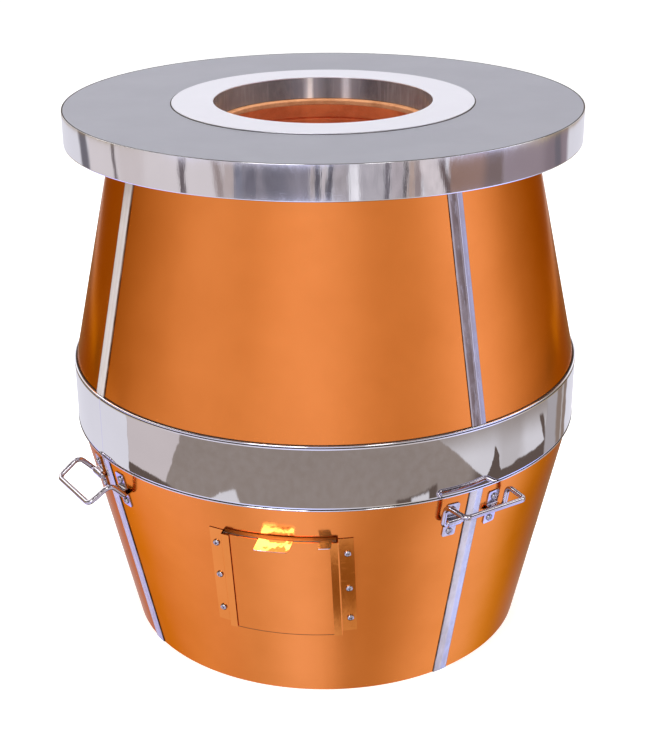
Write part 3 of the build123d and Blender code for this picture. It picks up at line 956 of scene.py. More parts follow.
def mouthRing():
    low = drum["worktop"] + top["ringGap"]
    ring = rounded([
        (top["mouthRadius"], low, 0),
        (ringHigh.x, low, 0),
        (ringHigh.x, ringHigh.z, top["ringEdge"]),
        (top["mouthRadius"], ringHigh.z, top["ringInnerEdge"]),
    ])
    piece = newPiece("bright_mouth_ring", *lathe(ring, top["sides"]))
    smoothPiece(piece)
    place(piece, "bright_brushed_steel", "drum", "mouth_ring")


def mouthCollar():
    steel, low, high = drum["steel"], collarLow.z, drum["worktop"]
    inner = top["mouthRadius"]
    collar = rounded([
        (inner, low, top["collarBend"]),
        (collarHigh.x, low, 0),
        (collarHigh.x, low + steel, 0),
        (inner + steel, low + steel, 0),
        (inner + steel, high, 0),
        (inner, high, 0),
    ])
    piece = newPiece("polished_mouth_collar", *lathe(collar, top["sides"]))
    smoothPiece(piece)
    # across runs square to the camera's azimuth, so that the collar's painted highlights stand where the
    # camera sees them
    writeAcross(piece, around(viewAzimuth + 90, 1, 0), inner)
    place(piece, "polished_steel", "drum", "mouth_collar", material="collar_steel")


rimHoop()
topPlate()
mouthRing()
mouthCollar()

# Dark rings of painted shade in the joints of the worktop and the band
sealant = {
    "depth": 1.2 * mm,
    "rings": {
        # name: inner radius, outer radius, height of its top
        "mouth": (grooveIn - 0.3 * mm, grooveOut + 0.9 * mm, drum["worktop"] + 0.3 * mm),
        "rim": (plateRadius - 0.6 * mm, rimHigh.x - 0.5 * mm, drum["worktop"] + 0.12 * mm),
        "band": (
            drum["waistRadius"] - 0.4 * mm,
            drum["waistRadius"] + 2 * mm,
            drum["bandTop"] + 0.3 * mm,
        ),
        "bead_top": (
            band["radius"] - 0.6 * mm,
            band["radius"] + 0.45 * mm,
            drum["bandTop"] - 2.8 * mm,
        ),
        "bead_bottom": (
            band["radius"] - 0.6 * mm,
            band["radius"] + 0.45 * mm,
            drum["bandBottom"] + 4.0 * mm,
        ),
    },
}


# a near black ring that paints the shade in a joint
def paintedShadeRing(name, inside, outside, high):
    low = high - sealant["depth"]
    corners = ((inside, low), (outside, low), (outside, high), (inside, high))
    section = [Vector(corner) for corner in corners]
    piece = newPiece(name + "_joint_sealant", *lathe(section, top["sides"]))
    smoothPiece(piece)
    place(piece, "mild_steel", "drum", material="sealant")


for name, ring in sealant["rings"].items():
    paintedShadeRing(name, *ring)
print("worktop made")


# Clay pot and the mortar over it
potLow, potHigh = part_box("pot_foot")[0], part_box("pot_neck")[1]
mortarLow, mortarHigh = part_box("mortar_ring")
pot = {
    "footRadius": 232 * mm,
    "bellyRadius": 290 * mm,
    "neckRadius": 204 * mm,
    "bellyHeight": 350 * mm,
    "wall": 40 * mm,
    "mouthRadius": 160 * mm,
    "grateHeight": 290 * mm,
    "ledge": 14 * mm,
    "grooveDrop": 22 * mm,
    "grooveDepth": 3 * mm,
    "grooveHeight": 4.5 * mm,
    "ductHalf": 67.3 * mm,
    "ductLow": 137.7 * mm,
    "ductHigh": 272.3 * mm,
    "ductReach": (0.05, 0.5),   # from the axis towards the door, in metres
    "sharpAngle": 40,
    "sides": 180,
    # parts of the outline along the outside, the bowl, the lip and the ash pit
    "outerParts": 26,
    "bowlParts": 40,
    "lipParts": 6,
    "ashParts": 12,
    "grooveTopSlope": 0.3 * mm,
    "grooveFootSlope": 1 * mm,
}
mortar = {
    "lowerBend": 1 * mm,
    "upperBend": 2.5 * mm,
    "slope": 0.1 * mm,
}


def jarRadius(z, belly, end, endHeight):
    fall = belly - end
    rise = endHeight - pot["bellyHeight"]
    bend = (fall * fall + rise * rise) / (2 * fall)
    away = z - pot["bellyHeight"]
    return belly - bend + sqrt(bend * bend - away * away)


def jarSide(inset, foot, mouth, low, high, count):
    points = []
    for part in range(count + 1):
        z = low + (high - low) * part / count
        if z < pot["bellyHeight"]:
            radius = jarRadius(z, pot["bellyRadius"] - inset, foot - inset, potLow.z)
        else:
            radius = jarRadius(z, pot["bellyRadius"] - inset, mouth, potHigh.z)
        points.append(Vector((radius, z)))
    return points


def clayPot():
    wall, ledge = pot["wall"], pot["ledge"]
    foot = pot["footRadius"]
    mouth, grate = pot["mouthRadius"], pot["grateHeight"]
    outer = jarSide(0, foot, pot["neckRadius"], potLow.z, potHigh.z, pot["outerParts"])
    grooveHigh = potHigh.z - pot["grooveDrop"]
    grooveLow = grooveHigh - pot["grooveHeight"]
    bowl = jarSide(wall, foot, mouth, grate, grooveLow, pot["bowlParts"])
    lip = jarSide(wall, foot, mouth, grooveHigh, potHigh.z, pot["lipParts"])[::-1]
    grooveRadius = bowl[-1].x + pot["grooveDepth"]
    lip.append(Vector((grooveRadius, grooveHigh - pot["grooveTopSlope"])))
    lip.append(Vector((grooveRadius, grooveLow + pot["grooveFootSlope"])))
    ash = jarSide(wall + ledge, foot, mouth - ledge, potLow.z, grate, pot["ashParts"])
    outline = outer + lip + bowl[::-1] + ash[::-1]
    piece = newPiece("fired_clay_pot", *lathe(outline, pot["sides"]))
    smoothPiece(piece, cutter=ductCutter(), sharp=pot["sharpAngle"])
    place(piece, "clay", "drum", "pot_foot", "pot_cheeks", "pot_lintel", "clay_pot", "pot_neck")


def ductCutter():
    half = pot["ductHalf"]
    near, far = pot["ductReach"]
    plan = ((-half, -far), (half, -far), (half, -near), (-half, -near))
    heights = (pot["ductLow"], pot["ductHigh"])
    rings = [[Vector((x, y, z)) for x, y in plan] for z in heights]
    return newPiece("duct_cutter", *loft(rings))


def mortarRing():
    low, high = mortarLow.z, mortarHigh.z
    ring = rounded([
        (pot["mouthRadius"], low, mortar["lowerBend"]),
        (mortarHigh.x, low, 0),
        (mortarHigh.x, high, 0),
        (pot["mouthRadius"], high - mortar["slope"], mortar["upperBend"]),
    ])
    piece = newPiece("mortar_seal", *lathe(ring, pot["sides"]))
    smoothPiece(piece)
    place(piece, "mortar", "drum", "mortar_ring")


clayPot()
mortarRing()
print("pot made")


# Draught door, its two guides and its two tabs
door = {
    "top": 303 * mm,
    "length": 184 * mm,
    "guideStep": 85 * mm,
    "flange": 22 * mm,
    "lip": 13 * mm,
    "sheet": 1.2 * mm,
    "standoff": 6.8 * mm,
    "lipGap": 1.0 * mm,
    "sideGap": 0.6 * mm,
    "restGap": 0.3 * mm,
    "tabLeg": 14 * mm,
    "tabBehind": 0.1 * mm,
    "softEdge": 0.3 * mm,
    "bevel": 0.25 * mm,
    "columns": 48,
    # of each guide's screws below its top: left guide, then right
    "screwDrops": {
        -1: (24 * mm, 85.5 * mm, 151.5 * mm),
        1: (25.5 * mm, 92.5 * mm, 151 * mm),
    },
    "screwInset": 12.3 * mm,
}
guideBends = {
    "stations": 16,
    "flangeParts": 4,
    "flangeStart": 1.6 * mm,    # where the flange has left the fold
    "heelInset": 0.6 * mm,
    "heel": 0.5 * mm,
    "footOutset": 0.25 * mm,
    "foot": 0.9 * mm,
    "shoulder": 1.9 * mm,
    "lip": 0.35 * mm,
    "inner": 0.7 * mm,
}
# size of the thin strip of painted shade along the door's bottom edge
bottomShade = {"half": 0.08 * mm, "above": 0.9 * mm, "below": 0.1 * mm, "endGap": 0.2 * mm}
tabBends = {"edge": 0.3 * mm, "outer": 1.1 * mm, "inner": 0.06 * mm, "columns": 20}
tabs = {
    "pull": {
        "left": -29 * mm,
        "right": 22 * mm,
        "reach": 24 * mm,
        "corner": 2 * mm,
        "skew": 0.13,
    },
    "stop": {
        "left": 60 * mm,
        "right": 78 * mm,
        "reach": 15 * mm,
        "corner": 1.5 * mm,
        "skew": 0,
    },
}
seal = {
    "height": 16 * mm,
    "sideGap": 0.8 * mm,
    "doorGap": 0.9 * mm,
    "outerBend": 0.8 * mm,
    "lowerBend": 0.3 * mm,
    "parts": 32,
}
wallBend = lowerWall(door["top"] - door["length"] / 2 * cos(lowerLean)) / cos(lowerLean)


def slopeFrame(down):
    # x to the right, y out of the wall, z down it, at so far below the guides' top
    z = door["top"] - down * cos(lowerLean)
    seat = wallFrame(0, z, lowerWall(z), lowerLean)
    right, up, out = [seat.col[axis].to_3d() for axis in range(3)]
    turned = Matrix((right, out, -up)).transposed().to_4x4()
    turned.translation = seat.translation
    return turned


def wallDrop(x, down):
    # how far the cone lies behind the plane at the door's middle
    radius = lowerWall(door["top"] - down * cos(lowerLean))
    square = cos(2 * lowerLean) / cos(lowerLean) ** 2
    linear = 2 * radius / cos(lowerLean)
    return (-linear + sqrt(linear * linear - 4 * square * x * x)) / (2 * square)


def doorGuide(side):
    sheet = door["sheet"]
    lean = asin(door["guideStep"] / wallBend)
    drop = wallBend * (1 - cos(lean))
    depth = door["standoff"] + sheet + door["lipGap"]

    def fold(inward, outward):
        # from the fold's own square axes to the slope's x and y
        x = door["guideStep"] - inward * cos(lean) + outward * sin(lean)
        y = -drop + inward * sin(lean) + outward * cos(lean)
        return x, y

    bends = guideBends
    step = door["guideStep"]
    near, far = step + bends["flangeStart"], step + door["flange"]
    parts = bends["flangeParts"]
    across = [near + (far - near) * part / parts for part in range(1, parts + 1)]
    inner = step - sheet
    rings = []
    for station in range(bends["stations"] + 1):
        down = door["length"] * station / bends["stations"]
        corners = [(inner + bends["heelInset"], wallDrop(inner, down), bends["heel"])]
        corners += [(x, wallDrop(x, down), 0) for x in across]
        corners += [(x, wallDrop(x, down) + sheet, 0) for x in reversed(across)]
        foot = wallDrop(step, down) + sheet
        corners += [
            (step + bends["footOutset"], foot, bends["foot"]),
            (*fold(0, depth + sheet), bends["shoulder"]),
            (*fold(door["lip"], depth + sheet), bends["lip"]),
            (*fold(door["lip"], depth), bends["lip"]),
            (*fold(sheet, depth), bends["inner"]),
        ]
        seat = slopeFrame(down)
        rings.append([seat @ Vector((p.x, p.y, 0)) for p in rounded(corners)])
    if side < 0:
        rings = [[Vector((-p.x, p.y, p.z)) for p in ring] for ring in rings]
    name = "left" if side < 0 else "right"
    piece = newPiece("copper_guide_" + name, *loft(rings))
    smoothPiece(piece)
    place(piece, "polished_copper", "drum", "door_guide_" + name)


def doorSpot(x, outset, down):
    # on the door's curved sheet, so far out from its inner face
    radius = wallBend + door["standoff"] + outset
    y = sqrt(radius * radius - x * x) - wallBend
    return slopeFrame(down) @ Vector((x, y, 0))


def doorPanel():
    half = door["guideStep"] - door["sheet"] - door["sideGap"]
    count, sheet, soft = door["columns"], door["sheet"], door["softEdge"]
    across = [-half + 2 * half * part / count for part in range(count + 1)]
    face = [-half + soft] + across[1:-1] + [half - soft]
    rings = []
    for down in (-door["restGap"], door["length"]):
        ring = [doorSpot(x, 0, down) for x in across]
        ring.append(doorSpot(half, sheet - soft, down))
        ring += [doorSpot(x, sheet, down) for x in reversed(face)]
        ring.append(doorSpot(-half, sheet - soft, down))
        rings.append(ring)
    piece = newPiece("copper_door", *loft(rings))
    smoothPiece(piece, edge=door["bevel"], sharp=30)
    place(piece, "copper", "door", "door_panel")


def doorBottomShade():
    # a thin dark strip of painted shade along the door's bottom edge
    half = door["guideStep"] - door["sheet"] - door["sideGap"] - bottomShade["endGap"]
    thick, high, low = bottomShade["half"], -bottomShade["above"], bottomShade["below"]
    section = [(-thick, high), (thick, high), (thick, low), (-thick, low)]
    count = door["columns"]
    rings = []
    for part in range(count + 1):
        x = half * (2 * part / count - 1)
        spots = [(x, door["sheet"] + out, door["length"] + down) for out, down in section]
        rings.append([doorSpot(*spot) for spot in spots])
    piece = newPiece("door_bottom_soot", *loft(rings))
    smoothPiece(piece)
    place(piece, "copper", "door", material="sooted_copper")


def doorTab(kind, slot, material):
    look = tabs[kind]
    sheet = door["sheet"]
    back = -door["tabBehind"] - sheet
    topEdge = -door["restGap"]
    legEnd = topEdge + door["tabLeg"]
    soft = tabBends["edge"]
    count = tabBends["columns"]
    rings = []
    for part in range(count + 1):
        x = look["left"] + (look["right"] - look["left"]) * part / count
        edge = min(x - look["left"], look["right"] - x)
        reach = sheet + look["reach"] - cornerCut(look["corner"], edge)
        section = rounded([
            (back, legEnd, soft),
            (back, topEdge - sheet, tabBends["outer"]),
            (reach, topEdge - sheet, soft),
            (reach, topEdge, soft),
            (back + sheet, topEdge, tabBends["inner"]),
            (back + sheet, legEnd, soft),
        ])
        rings.append([doorSpot(x - look["skew"] * max(0, p.x), p.x, p.y) for p in section])
    piece = newPiece("door_" + kind + "_tab_bent", *loft(rings))
    smoothPiece(piece)
    place(piece, slot, "door", "door_" + kind + "_tab", material=material)


doorGuide(-1)
doorGuide(1)
doorPanel()
doorBottomShade()
doorTab("pull", "polished_copper", "tab_copper")
doorTab("stop", "polished_steel", "polished_steel")


def draughtSeal():
    # copper strip on the wall that all but closes the gap behind the door's top edge, darkened as painted
    # shade for that gap
    half = door["guideStep"] - door["sheet"] - seal["sideGap"]
    thick = door["standoff"] - door["tabBehind"] - door["sheet"] - seal["doorGap"]
    section = rounded([
        (0, 0, 0),
        (thick, 0, seal["outerBend"]),
        (thick, seal["height"], seal["lowerBend"]),
        (0, seal["height"], 0),
    ])
    rings = []
    for part in range(seal["parts"] + 1):
        x = half * (2 * part / seal["parts"] - 1)
        spots = [Vector((x, wallDrop(x, p.y) + p.x, 0)) for p in section]
        rings.append([slopeFrame(p.y) @ spot for p, spot in zip(section, spots)])
    piece = newPiece("copper_draught_seal", *loft(rings))
    smoothPiece(piece)
    place(piece, "copper", "drum", "draught_seal", material="dim_copper")


draughtSeal()
print("door made")


# Carrying handles: one bent rod at each seam, made by a node tree from its corner points
bail = {
    "pivotHeight": 311.7 * mm,
    "standoff": 5.4 * mm,
    "rodRadius": 4 * mm,
    "endOffset": 21.4 * mm,
    "legOffset": 57.5 * mm,
    "legLength": 35.3 * mm,
    "gripHalf": 54.2 * mm,
    "gripReach": 42.6 * mm,
    "gripTurn": 80,
    "bends": (6.5 * mm, 13 * mm, 9 * mm),   # at the foot, the knee and the grip
    "swing": {"front_left": 31},            # the others lie flat against their stops
    "bendSteps": 10,
    "sides": 28,
    "endEdge": 0.5 * mm,
}


def newTree(name, inputs):
    # a node tree that takes and gives geometry, with named inputs for its values
    tree = bpy.data.node_groups.new(name, "GeometryNodeTree")
    inputs = {"Geometry": "Geometry"} | inputs
    for label, kind in inputs.items():
        tree.interface.new_socket(label, in_out="INPUT", socket_type="NodeSocket" + kind)
    tree.interface.new_socket("Geometry", in_out="OUTPUT", socket_type="NodeSocketGeometry")
    graph = Graph(tree)
    given = list(tree.nodes.new("NodeGroupInput").outputs)[:len(inputs)]
    return graph, [Signal(graph, socket) for socket in given]


def finishTree(graph, geometry, material):
    geometry = graph.node("GeometryNodeRealizeInstances", {}, {"Geometry": geometry})
    geometry = graph.node("GeometryNodeSetMaterial", {}, {"Geometry": geometry, "Material": material})
    graph.node("NodeGroupOutput", {}, {0: geometry})
    return graph.tree


def addTree(piece, tree, values):
    modifier = piece.modifiers.new(tree.name, "NODES")
    modifier.node_group = tree
    for socket in tree.interface.items_tree:
        if socket.in_out == "INPUT" and socket.name in values:
            modifier[socket.identifier] = values[socket.name]


def rodTree():
    inputs = {"Rod Radius": "Float", "Sides": "Int", "Bend Steps": "Int", "Material": "Material"}
    graph, (geometry, radius, sides, steps, material) = newTree("bent rod", inputs)
    bend = graph.node("GeometryNodeInputNamedAttribute", {"data_type": "FLOAT"}, {"Name": "bend"})
    line = graph.node("GeometryNodeMeshToCurve", {}, {"Mesh": geometry})
    line = graph.node("GeometryNodeFilletCurve", {"mode": "POLY"}, {
        "Curve": line, "Count": steps, "Radius": bend,
    })
    circle = graph.node("GeometryNodeCurvePrimitiveCircle", {}, {"Resolution": sides, "Radius": radius})
    rod = graph.node("GeometryNodeCurveToMesh", {}, {
        "Curve": line, "Profile Curve": circle, "Fill Caps": True,
    })
    return finishTree(graph, rod, material)


def handleBail(name, tree):
    swing = radians(bail["swing"].get(name, 0))
    arm = swing + radians(bail["gripTurn"])
    knee = (bail["legLength"] * cos(swing), bail["legLength"] * sin(swing))
    grip = (knee[0] + bail["gripReach"] * cos(arm), knee[1] + bail["gripReach"] * sin(arm))
    half = [
        ((bail["endOffset"], 0, 0), 0),
        ((bail["legOffset"], 0, 0), bail["bends"][0]),
        ((bail["legOffset"], *knee), bail["bends"][1]),
        ((bail["gripHalf"], *grip), bail["bends"][2]),
    ]
    corners = [((-x, y, z), bend) for (x, y, z), bend in half] + half[::-1]
    radius = lowerWall(bail["pivotHeight"])
    seat = wallFrame(seams[name], bail["pivotHeight"], radius, lowerLean, bail["standoff"])
    mesh = bpy.data.meshes.new("bail_" + name)
    spots = [seat @ Vector(corner) for corner, bend in corners]
    mesh.from_pydata(spots, [(step, step + 1) for step in range(len(spots) - 1)], [])
    bends = mesh.attributes.new("bend", "FLOAT", "POINT")
    bends.data.foreach_set("value", [bend for corner, bend in corners])
    piece = addObject("bail_rod_" + name, mesh)
    addTree(piece, tree, {
        "Rod Radius": bail["rodRadius"],
        "Sides": bail["sides"],
        "Bend Steps": bail["bendSteps"],
        "Material": materials["handle_steel"],
    })
    bakeModifiers(piece)
    cleanMesh(piece.data)
    smoothPiece(piece, edge=bail["endEdge"])
    place(piece, "handle_steel", "bail_" + name, "handle_" + name)


rods = rodTree()
for name in seams:
    handleBail(name, rods)
print("handles made")


# Handle brackets: a screwed strip pressed up over the rod
bracket = {
    "offset": 38 * mm,
    "width": 22 * mm,
    "height": 60 * mm,
    "sheet": 1.8 * mm,
    "saddle": 1.6 * mm,
    "corner": 3 * mm,
    "edge": 0.4 * mm,
    "pressBend": 1.6 * mm,    # where the strip rises to the saddle
    "bevel": 0.25 * mm,
    "fit": 0.06 * mm,
    "screwSpacing": 40 * mm,
    "columns": 16,
    "arcParts": 16,
}


def handleBracket(name, side):
    radius = lowerWall(bail["pivotHeight"])
    seat = wallFrame(seams[name], bail["pivotHeight"], radius, lowerLean)
    slope = bracket["offset"] * cos(lowerLean) / radius    # of the wall under the bracket
    bore = bail["rodRadius"] + bracket["fit"]
    crown = bore + bracket["saddle"]
    soft, press, pivot = bracket["edge"], bracket["pressBend"], bail["standoff"]
    arcs = bracket["arcParts"]
    count = bracket["columns"]
    rings = []
    for part in range(count + 1):
        along = bracket["width"] * (part / count - 0.5)
        edge = bracket["width"] / 2 - abs(along)
        end = bracket["height"] / 2 - cornerCut(bracket["corner"], edge)
        base = -bracket["offset"] * slope / 2 - along * slope
        face = base + bracket["sheet"]
        rise = [(-end, base, 0), (-end, face, soft), (-crown, face, press), (-crown, pivot, 0)]
        fall = [(crown, pivot, 0), (crown, face, press), (end, face, soft), (end, base, 0)]
        outline = rounded(rise) + arcPoints((0, pivot), crown, 180, 0, arcs)[1:]
        outline += rounded(fall)[1:] + [Vector((bore, base)), Vector((bore, pivot))]
        outline += arcPoints((0, pivot), bore, 0, 180, arcs)[1:] + [Vector((-bore, base))]
        x = side * (bracket["offset"] + along)
        rings.append([seat @ Vector((x, p.x, p.y)) for p in outline])
    label = name + ("_left" if side < 0 else "_right")
    piece = newPiece("pressed_bracket_" + label, *loft(rings))
    smoothPiece(piece, edge=bracket["bevel"])
    place(piece, "bracket_steel", "drum", "bracket_" + label)


for name in seams:
    handleBracket(name, -1)
    handleBracket(name, 1)
print("brackets made")


# Pan head screws: one head, set by a node tree on every seat with its own turn
screw = {
    "headRadius": 5.4 * mm,
    "headHeight": 3.2 * mm,
    "side": 1.1 * mm,
    "flat": 2.2 * mm,
    "shank": 2.5 * mm,
    "length": 10 * mm,
    "tip": 0.6 * mm,
    "tipLength": 0.8 * mm,
    "rimEdge": 0.25 * mm,
    "domeParts": 6,
    "recessLength": 5.4 * mm,
    "recessWidth": 1.35 * mm,
    "recessDepth": 1.5 * mm,
    "recessTaper": (0.7, 1.1),    # of the cross at its floor and above the head
    "sides": 32,
    "seed": 7,
}


def screwHead():
    radius, height = screw["headRadius"], screw["headHeight"]
    shank, end, soft = screw["shank"], -screw["length"], screw["rimEdge"]
    outline = [(0, end), (shank - screw["tip"], end), (shank, end + screw["tipLength"]), (shank, 0)]
    outline += [(radius - soft, 0), (radius, soft), (radius, screw["side"])]
    parts = screw["domeParts"]
    for part in range(1, parts + 1):
        turn = pi / 2 * part / parts
        x = screw["flat"] + (radius - screw["flat"]) * cos(turn)
        outline.append((x, screw["side"] + (height - screw["side"]) * sin(turn)))
    outline.append((0, height))
    sides = screw["sides"]
    rings = [[around(360 * side / sides, x, z) for x, z in outline] for side in range(sides)]
    count = len(outline)
    faces = []
    for side in range(sides):
        here, there = side * count, (side + 1) % sides * count
        faces += [(here + k, here + k + 1, there + k + 1, there + k) for k in range(count - 1)]
    piece = newPiece("screw_master", [p for ring in rings for p in ring], faces)
    long, wide = screw["recessLength"] / 2, screw["recessWidth"] / 2
    cross = [(long, wide), (wide, wide), (wide, long), (-wide, long), (-wide, wide), (-long, wide)]
    cross += [(-x, -y) for x, y in cross]
    heights = (height - screw["recessDepth"], height + 1 * mm)
    ends = zip(heights, screw["recessTaper"])
    rings = [[Vector((x * size, y * size, z)) for x, y in cross] for z, size in ends]
    cutter = newPiece("screw_cutter", *loft(rings))
    smoothPiece(piece, cutter=cutter)
    return piece


def screwTree():
    inputs = {"Screw": "Object", "Seed": "Int", "Material": "Material"}
    graph, (geometry, master, seed, material) = newTree("screws on seats", inputs)
    asMade = {"transform_space": "ORIGINAL"}
    head = graph.node("GeometryNodeObjectInfo", asMade, {"Object": master}, output="Geometry")
    vectors = {"data_type": "FLOAT_VECTOR"}
    facing = graph.node("GeometryNodeInputNamedAttribute", vectors, {"Name": "facing"})
    # how far each head was driven round: inputs 2 and 3 are the least and the most
    limits = {2: 0.0, 3: pi / 2, "Seed": seed}
    turn = graph.node("FunctionNodeRandomValue", {"data_type": "FLOAT"}, limits, output=1)
    upright = graph.node("FunctionNodeAlignRotationToVector", {"axis": "Z"}, {"Vector": facing})
    spin = graph.node("FunctionNodeAxisAngleToRotation", {}, {"Axis": (0, 0, 1), "Angle": turn})
    local = {"rotation_space": "LOCAL"}
    rotation = graph.node("FunctionNodeRotateRotation", local, {0: upright, 1: spin})
    points = graph.node("GeometryNodeMeshToPoints", {}, {"Mesh": geometry})
    heads = graph.node("GeometryNodeInstanceOnPoints", {}, {
        "Points": points, "Instance": head, "Rotation": rotation,
    })
    return finishTree(graph, heads, material)


def guideSeats():
    seats = []
    for side in (-1, 1):
        for drop in door["screwDrops"][side]:
            z = door["top"] - drop
            azimuth = side * asin((door["guideStep"] + door["screwInset"]) / lowerWall(z))
            seats.append(wallFrame(degrees(azimuth), z, lowerWall(z), lowerLean, door["sheet"]))
    return seats


def bracketSeats():
    seats = []
    z = bail["pivotHeight"]
    step = degrees(asin(bracket["offset"] / lowerWall(z)))
    for azimuth in seams.values():
        for side in (-1, 1):
            seat = wallFrame(azimuth + side * step, z, lowerWall(z), lowerLean, bracket["sheet"])
            for way in (-1, 1):
                seats.append(seat @ Matrix.Translation((0, way * bracket["screwSpacing"] / 2, 0)))
    return seats


def setScrews(name, seats, tree, master, node):
    mesh = bpy.data.meshes.new(name)
    mesh.from_pydata([seat.translation for seat in seats], [], [])
    facing = mesh.attributes.new("facing", "FLOAT_VECTOR", "POINT")
    facing.data.foreach_set("vector", [c for seat in seats for c in seat.col[2].to_3d()])
    piece = addObject(name, mesh)
    addTree(piece, tree, {
        "Screw": master,
        "Seed": screw["seed"],
        "Material": materials["screw_steel"],
    })
    bakeModifiers(piece)
    smoothPiece(piece)
    place(piece, "screw_steel", "drum", node)


screwMaster = screwHead()
screwNodes = screwTree()
setScrews("pan_screws_guides", guideSeats(), screwNodes, screwMaster, "guide_screws")
setScrews("pan_screws_brackets", bracketSeats(), screwNodes, screwMaster, "bracket_screws")
bpy.data.objects.remove(screwMaster)
print("screws set")


# The inner pieces stay as they are in the frame and get their finishes
inside = {
    "base_plate": "mild_steel",
    "base_ring": "mild_steel",
    "waist_hoop": "mild_steel",
    "top_support_ring": "mild_steel",
    "draught_duct": "mild_steel",
    "hearth_slab": "fire_brick",
    "charcoal_grate": "cast_iron",
    "lower_blanket": "fibre_blanket",
    "upper_blanket": "fibre_blanket",
}
for node, finish in inside.items():
    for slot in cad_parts[node].material_slots:
        slot.material = materials[finish]


# Camera at the photograph's place
view = {
    "distance": 2.2213,
    "height": 1.3261,
    "pitch": 22.715,      # degrees below the horizon
    "roll": -0.0074,      # radians
    "focal": 69.26,       # millimetres
    "sensor": 36,         # height in millimetres
}


def addCamera():
    turn, pitch, roll = radians(viewAzimuth), radians(view["pitch"]), view["roll"]
    right = Vector((cos(turn), sin(turn), 0))
    forward = Vector((-sin(turn) * cos(pitch), cos(turn) * cos(pitch), -sin(pitch)))
    up = right.cross(forward)
    tiltedRight = right * cos(roll) + up * sin(roll)
    tiltedUp = up * cos(roll) - right * sin(roll)
    data = bpy.data.cameras.new("camera")
    data.sensor_fit = "VERTICAL"
    data.sensor_height = view["sensor"]
    data.lens = view["focal"]
    camera = addObject("camera", data)
    camera.matrix_world = Matrix((tiltedRight, tiltedUp, -forward)).transposed().to_4x4()
    camera.matrix_world.translation = around(viewAzimuth, view["distance"], view["height"])
    bpy.context.scene.camera = camera


addCamera()

# Floor and lamps
studio = {
    "floorSize": 60,
    "floorColor": (0.92, 0.92, 0.92),
    "floorGlow": 0.56,        # seen by the camera alone, so that the floor is near white
    "ambient": 0.55,
    "lampsAim": (0, 0, 0.5),
    "lamps": {
        # name: place, size, power
        "key": ((-1.6, -2.4, 2.8), 2.0, 46),
        "fill": ((2.6, -1.4, 2.0), 1.8, 22),
        "over": ((0.1, 0.3, 3.2), 2.2, 90),
    },
}


def addFloor():
    size = studio["floorSize"] / 2
    corners = [(-size, -size, 0), (size, -size, 0), (size, size, 0), (-size, size, 0)]
    mesh = bpy.data.meshes.new("floor")
    mesh.from_pydata(corners, [], [(0, 1, 2, 3)])
    floor = addObject("floor", mesh)
    material, graph = newMaterial("pale floor")
    cameraRay = graph.node("ShaderNodeLightPath", output="Is Camera Ray")
    diffuse = graph.node("ShaderNodeBsdfDiffuse", {}, {"Color": studio["floorColor"]})
    strength = cameraRay * studio["floorGlow"]
    light = graph.node("ShaderNodeEmission", {}, {"Color": (1, 1, 1), "Strength": strength})
    both = graph.node("ShaderNodeAddShader", {}, {0: diffuse, 1: light})
    graph.node("ShaderNodeOutputMaterial", {}, {"Surface": both})
    mesh.materials.append(material)
    floor.visible_glossy = False


def addLamps():
    for name, (spot, size, power) in studio["lamps"].items():
        data = bpy.data.lights.new(name, "AREA")
        data.size = size
        data.energy = power
        lamp = addObject(name, data)
        lamp.location = spot
        aim = Vector(studio["lampsAim"]) - Vector(spot)
        lamp.rotation_euler = aim.to_track_quat("-Z", "Y").to_euler()
        lamp.visible_glossy = False


# What polished metal mirrors: a room drawn round the oven, seen by glossy rays alone.
# Azimuths are from the camera and elevations above the horizon, in degrees.
glow = {
    # level of the soft walls of the room, as leaning copper mirrors them
    "upperLevel": 0.86,
    "upperDark": 0.38,                 # behind the oven, as its sides show
    "upperFadeLeft": (-126, -56),
    "upperFadeRight": (62, 140),
    # of a hump: middle, reach and rise
    "upperHumps": ((-8, 34, 0.20), (34, 26, -0.10), (76, 34, 0.27), (-60, 25, 0.05)),
    "upperTint": (1.0, 1.32, 1.3, 2.3),   # green and blue: share, and power of the level
    "upperBlush": (1, 0.88, 0.78),        # where the copper is seen edge on
    "blushSide": (112, 150),
    # level of the room's floor, as the lower cone mirrors it
    "lowerLevel": 0.85,
    "lowerHumps": ((-98, 34, 0.06), (-18, 36, 0.24), (31, 34, -0.22), (90, 42, 0.25)),
    "lowerFadeLeft": (-170, -118, -0.12),
    "lowerFadeRight": (105, 165, -0.26),
    "lowerTopLeft": (-130, -62, 15, 0.14),   # rise towards the band on this side
    "lowerTopRight": (116, 180, 12, -0.14),
    "lowerBlushes": (
        (-106, -62, 10, (1, 0.93, 0.90)),
        (-150, -106, 10, (1, 0.90, 1.45)),
        (95, 148, 12, (1, 1.09, 1.60)),
    ),
    "lowerTint": (1.045, 1.33, 1.48, 2.3),
    "steepEdge": (0.213, 68, 3.5),        # where that rise begins, lower towards the sides
    "foot": (-70, -63, 0.12, 1.0),        # the floor darkens under the oven
    # azimuths and elevations from and to, and level
    "doorway": (6, 19, -56, -53.4, 0.26),
    "doorwaySoft": (0.8, 0.15),
    "behind": (1.32, 1.32, 1.38),
    "behindSide": (118, 150),
    "behindFoot": (2, 1),
    "behindTop": (13, 35),
    "ceiling": (0.14, 0.13, 0.13),
    "ceilingFoot": (19, 4),
    "zenith": (0.75, 0.75, 0.78),
    "zenithFoot": (62, 3),
    "boxSoft": 1.5,
    # heights of the oven that show each layer of the room, and how softly they meet
    "nearTop": (0.345, 0.005),
    "bandLayerTop": (0.475, 0.006),
    "rimLayer": (0.800, 0.868, 0.006),
}
mirror = {
    # azimuth of the wall that shows a direction: a share of it, which grows with it
    "share": 0.345,
    "shareGrowth": 0.0005,
    # noise over the drawing: its grain by the degree and by the metre
    "grain": (0.11, 30),
    "cloudScale": 2.3,
}
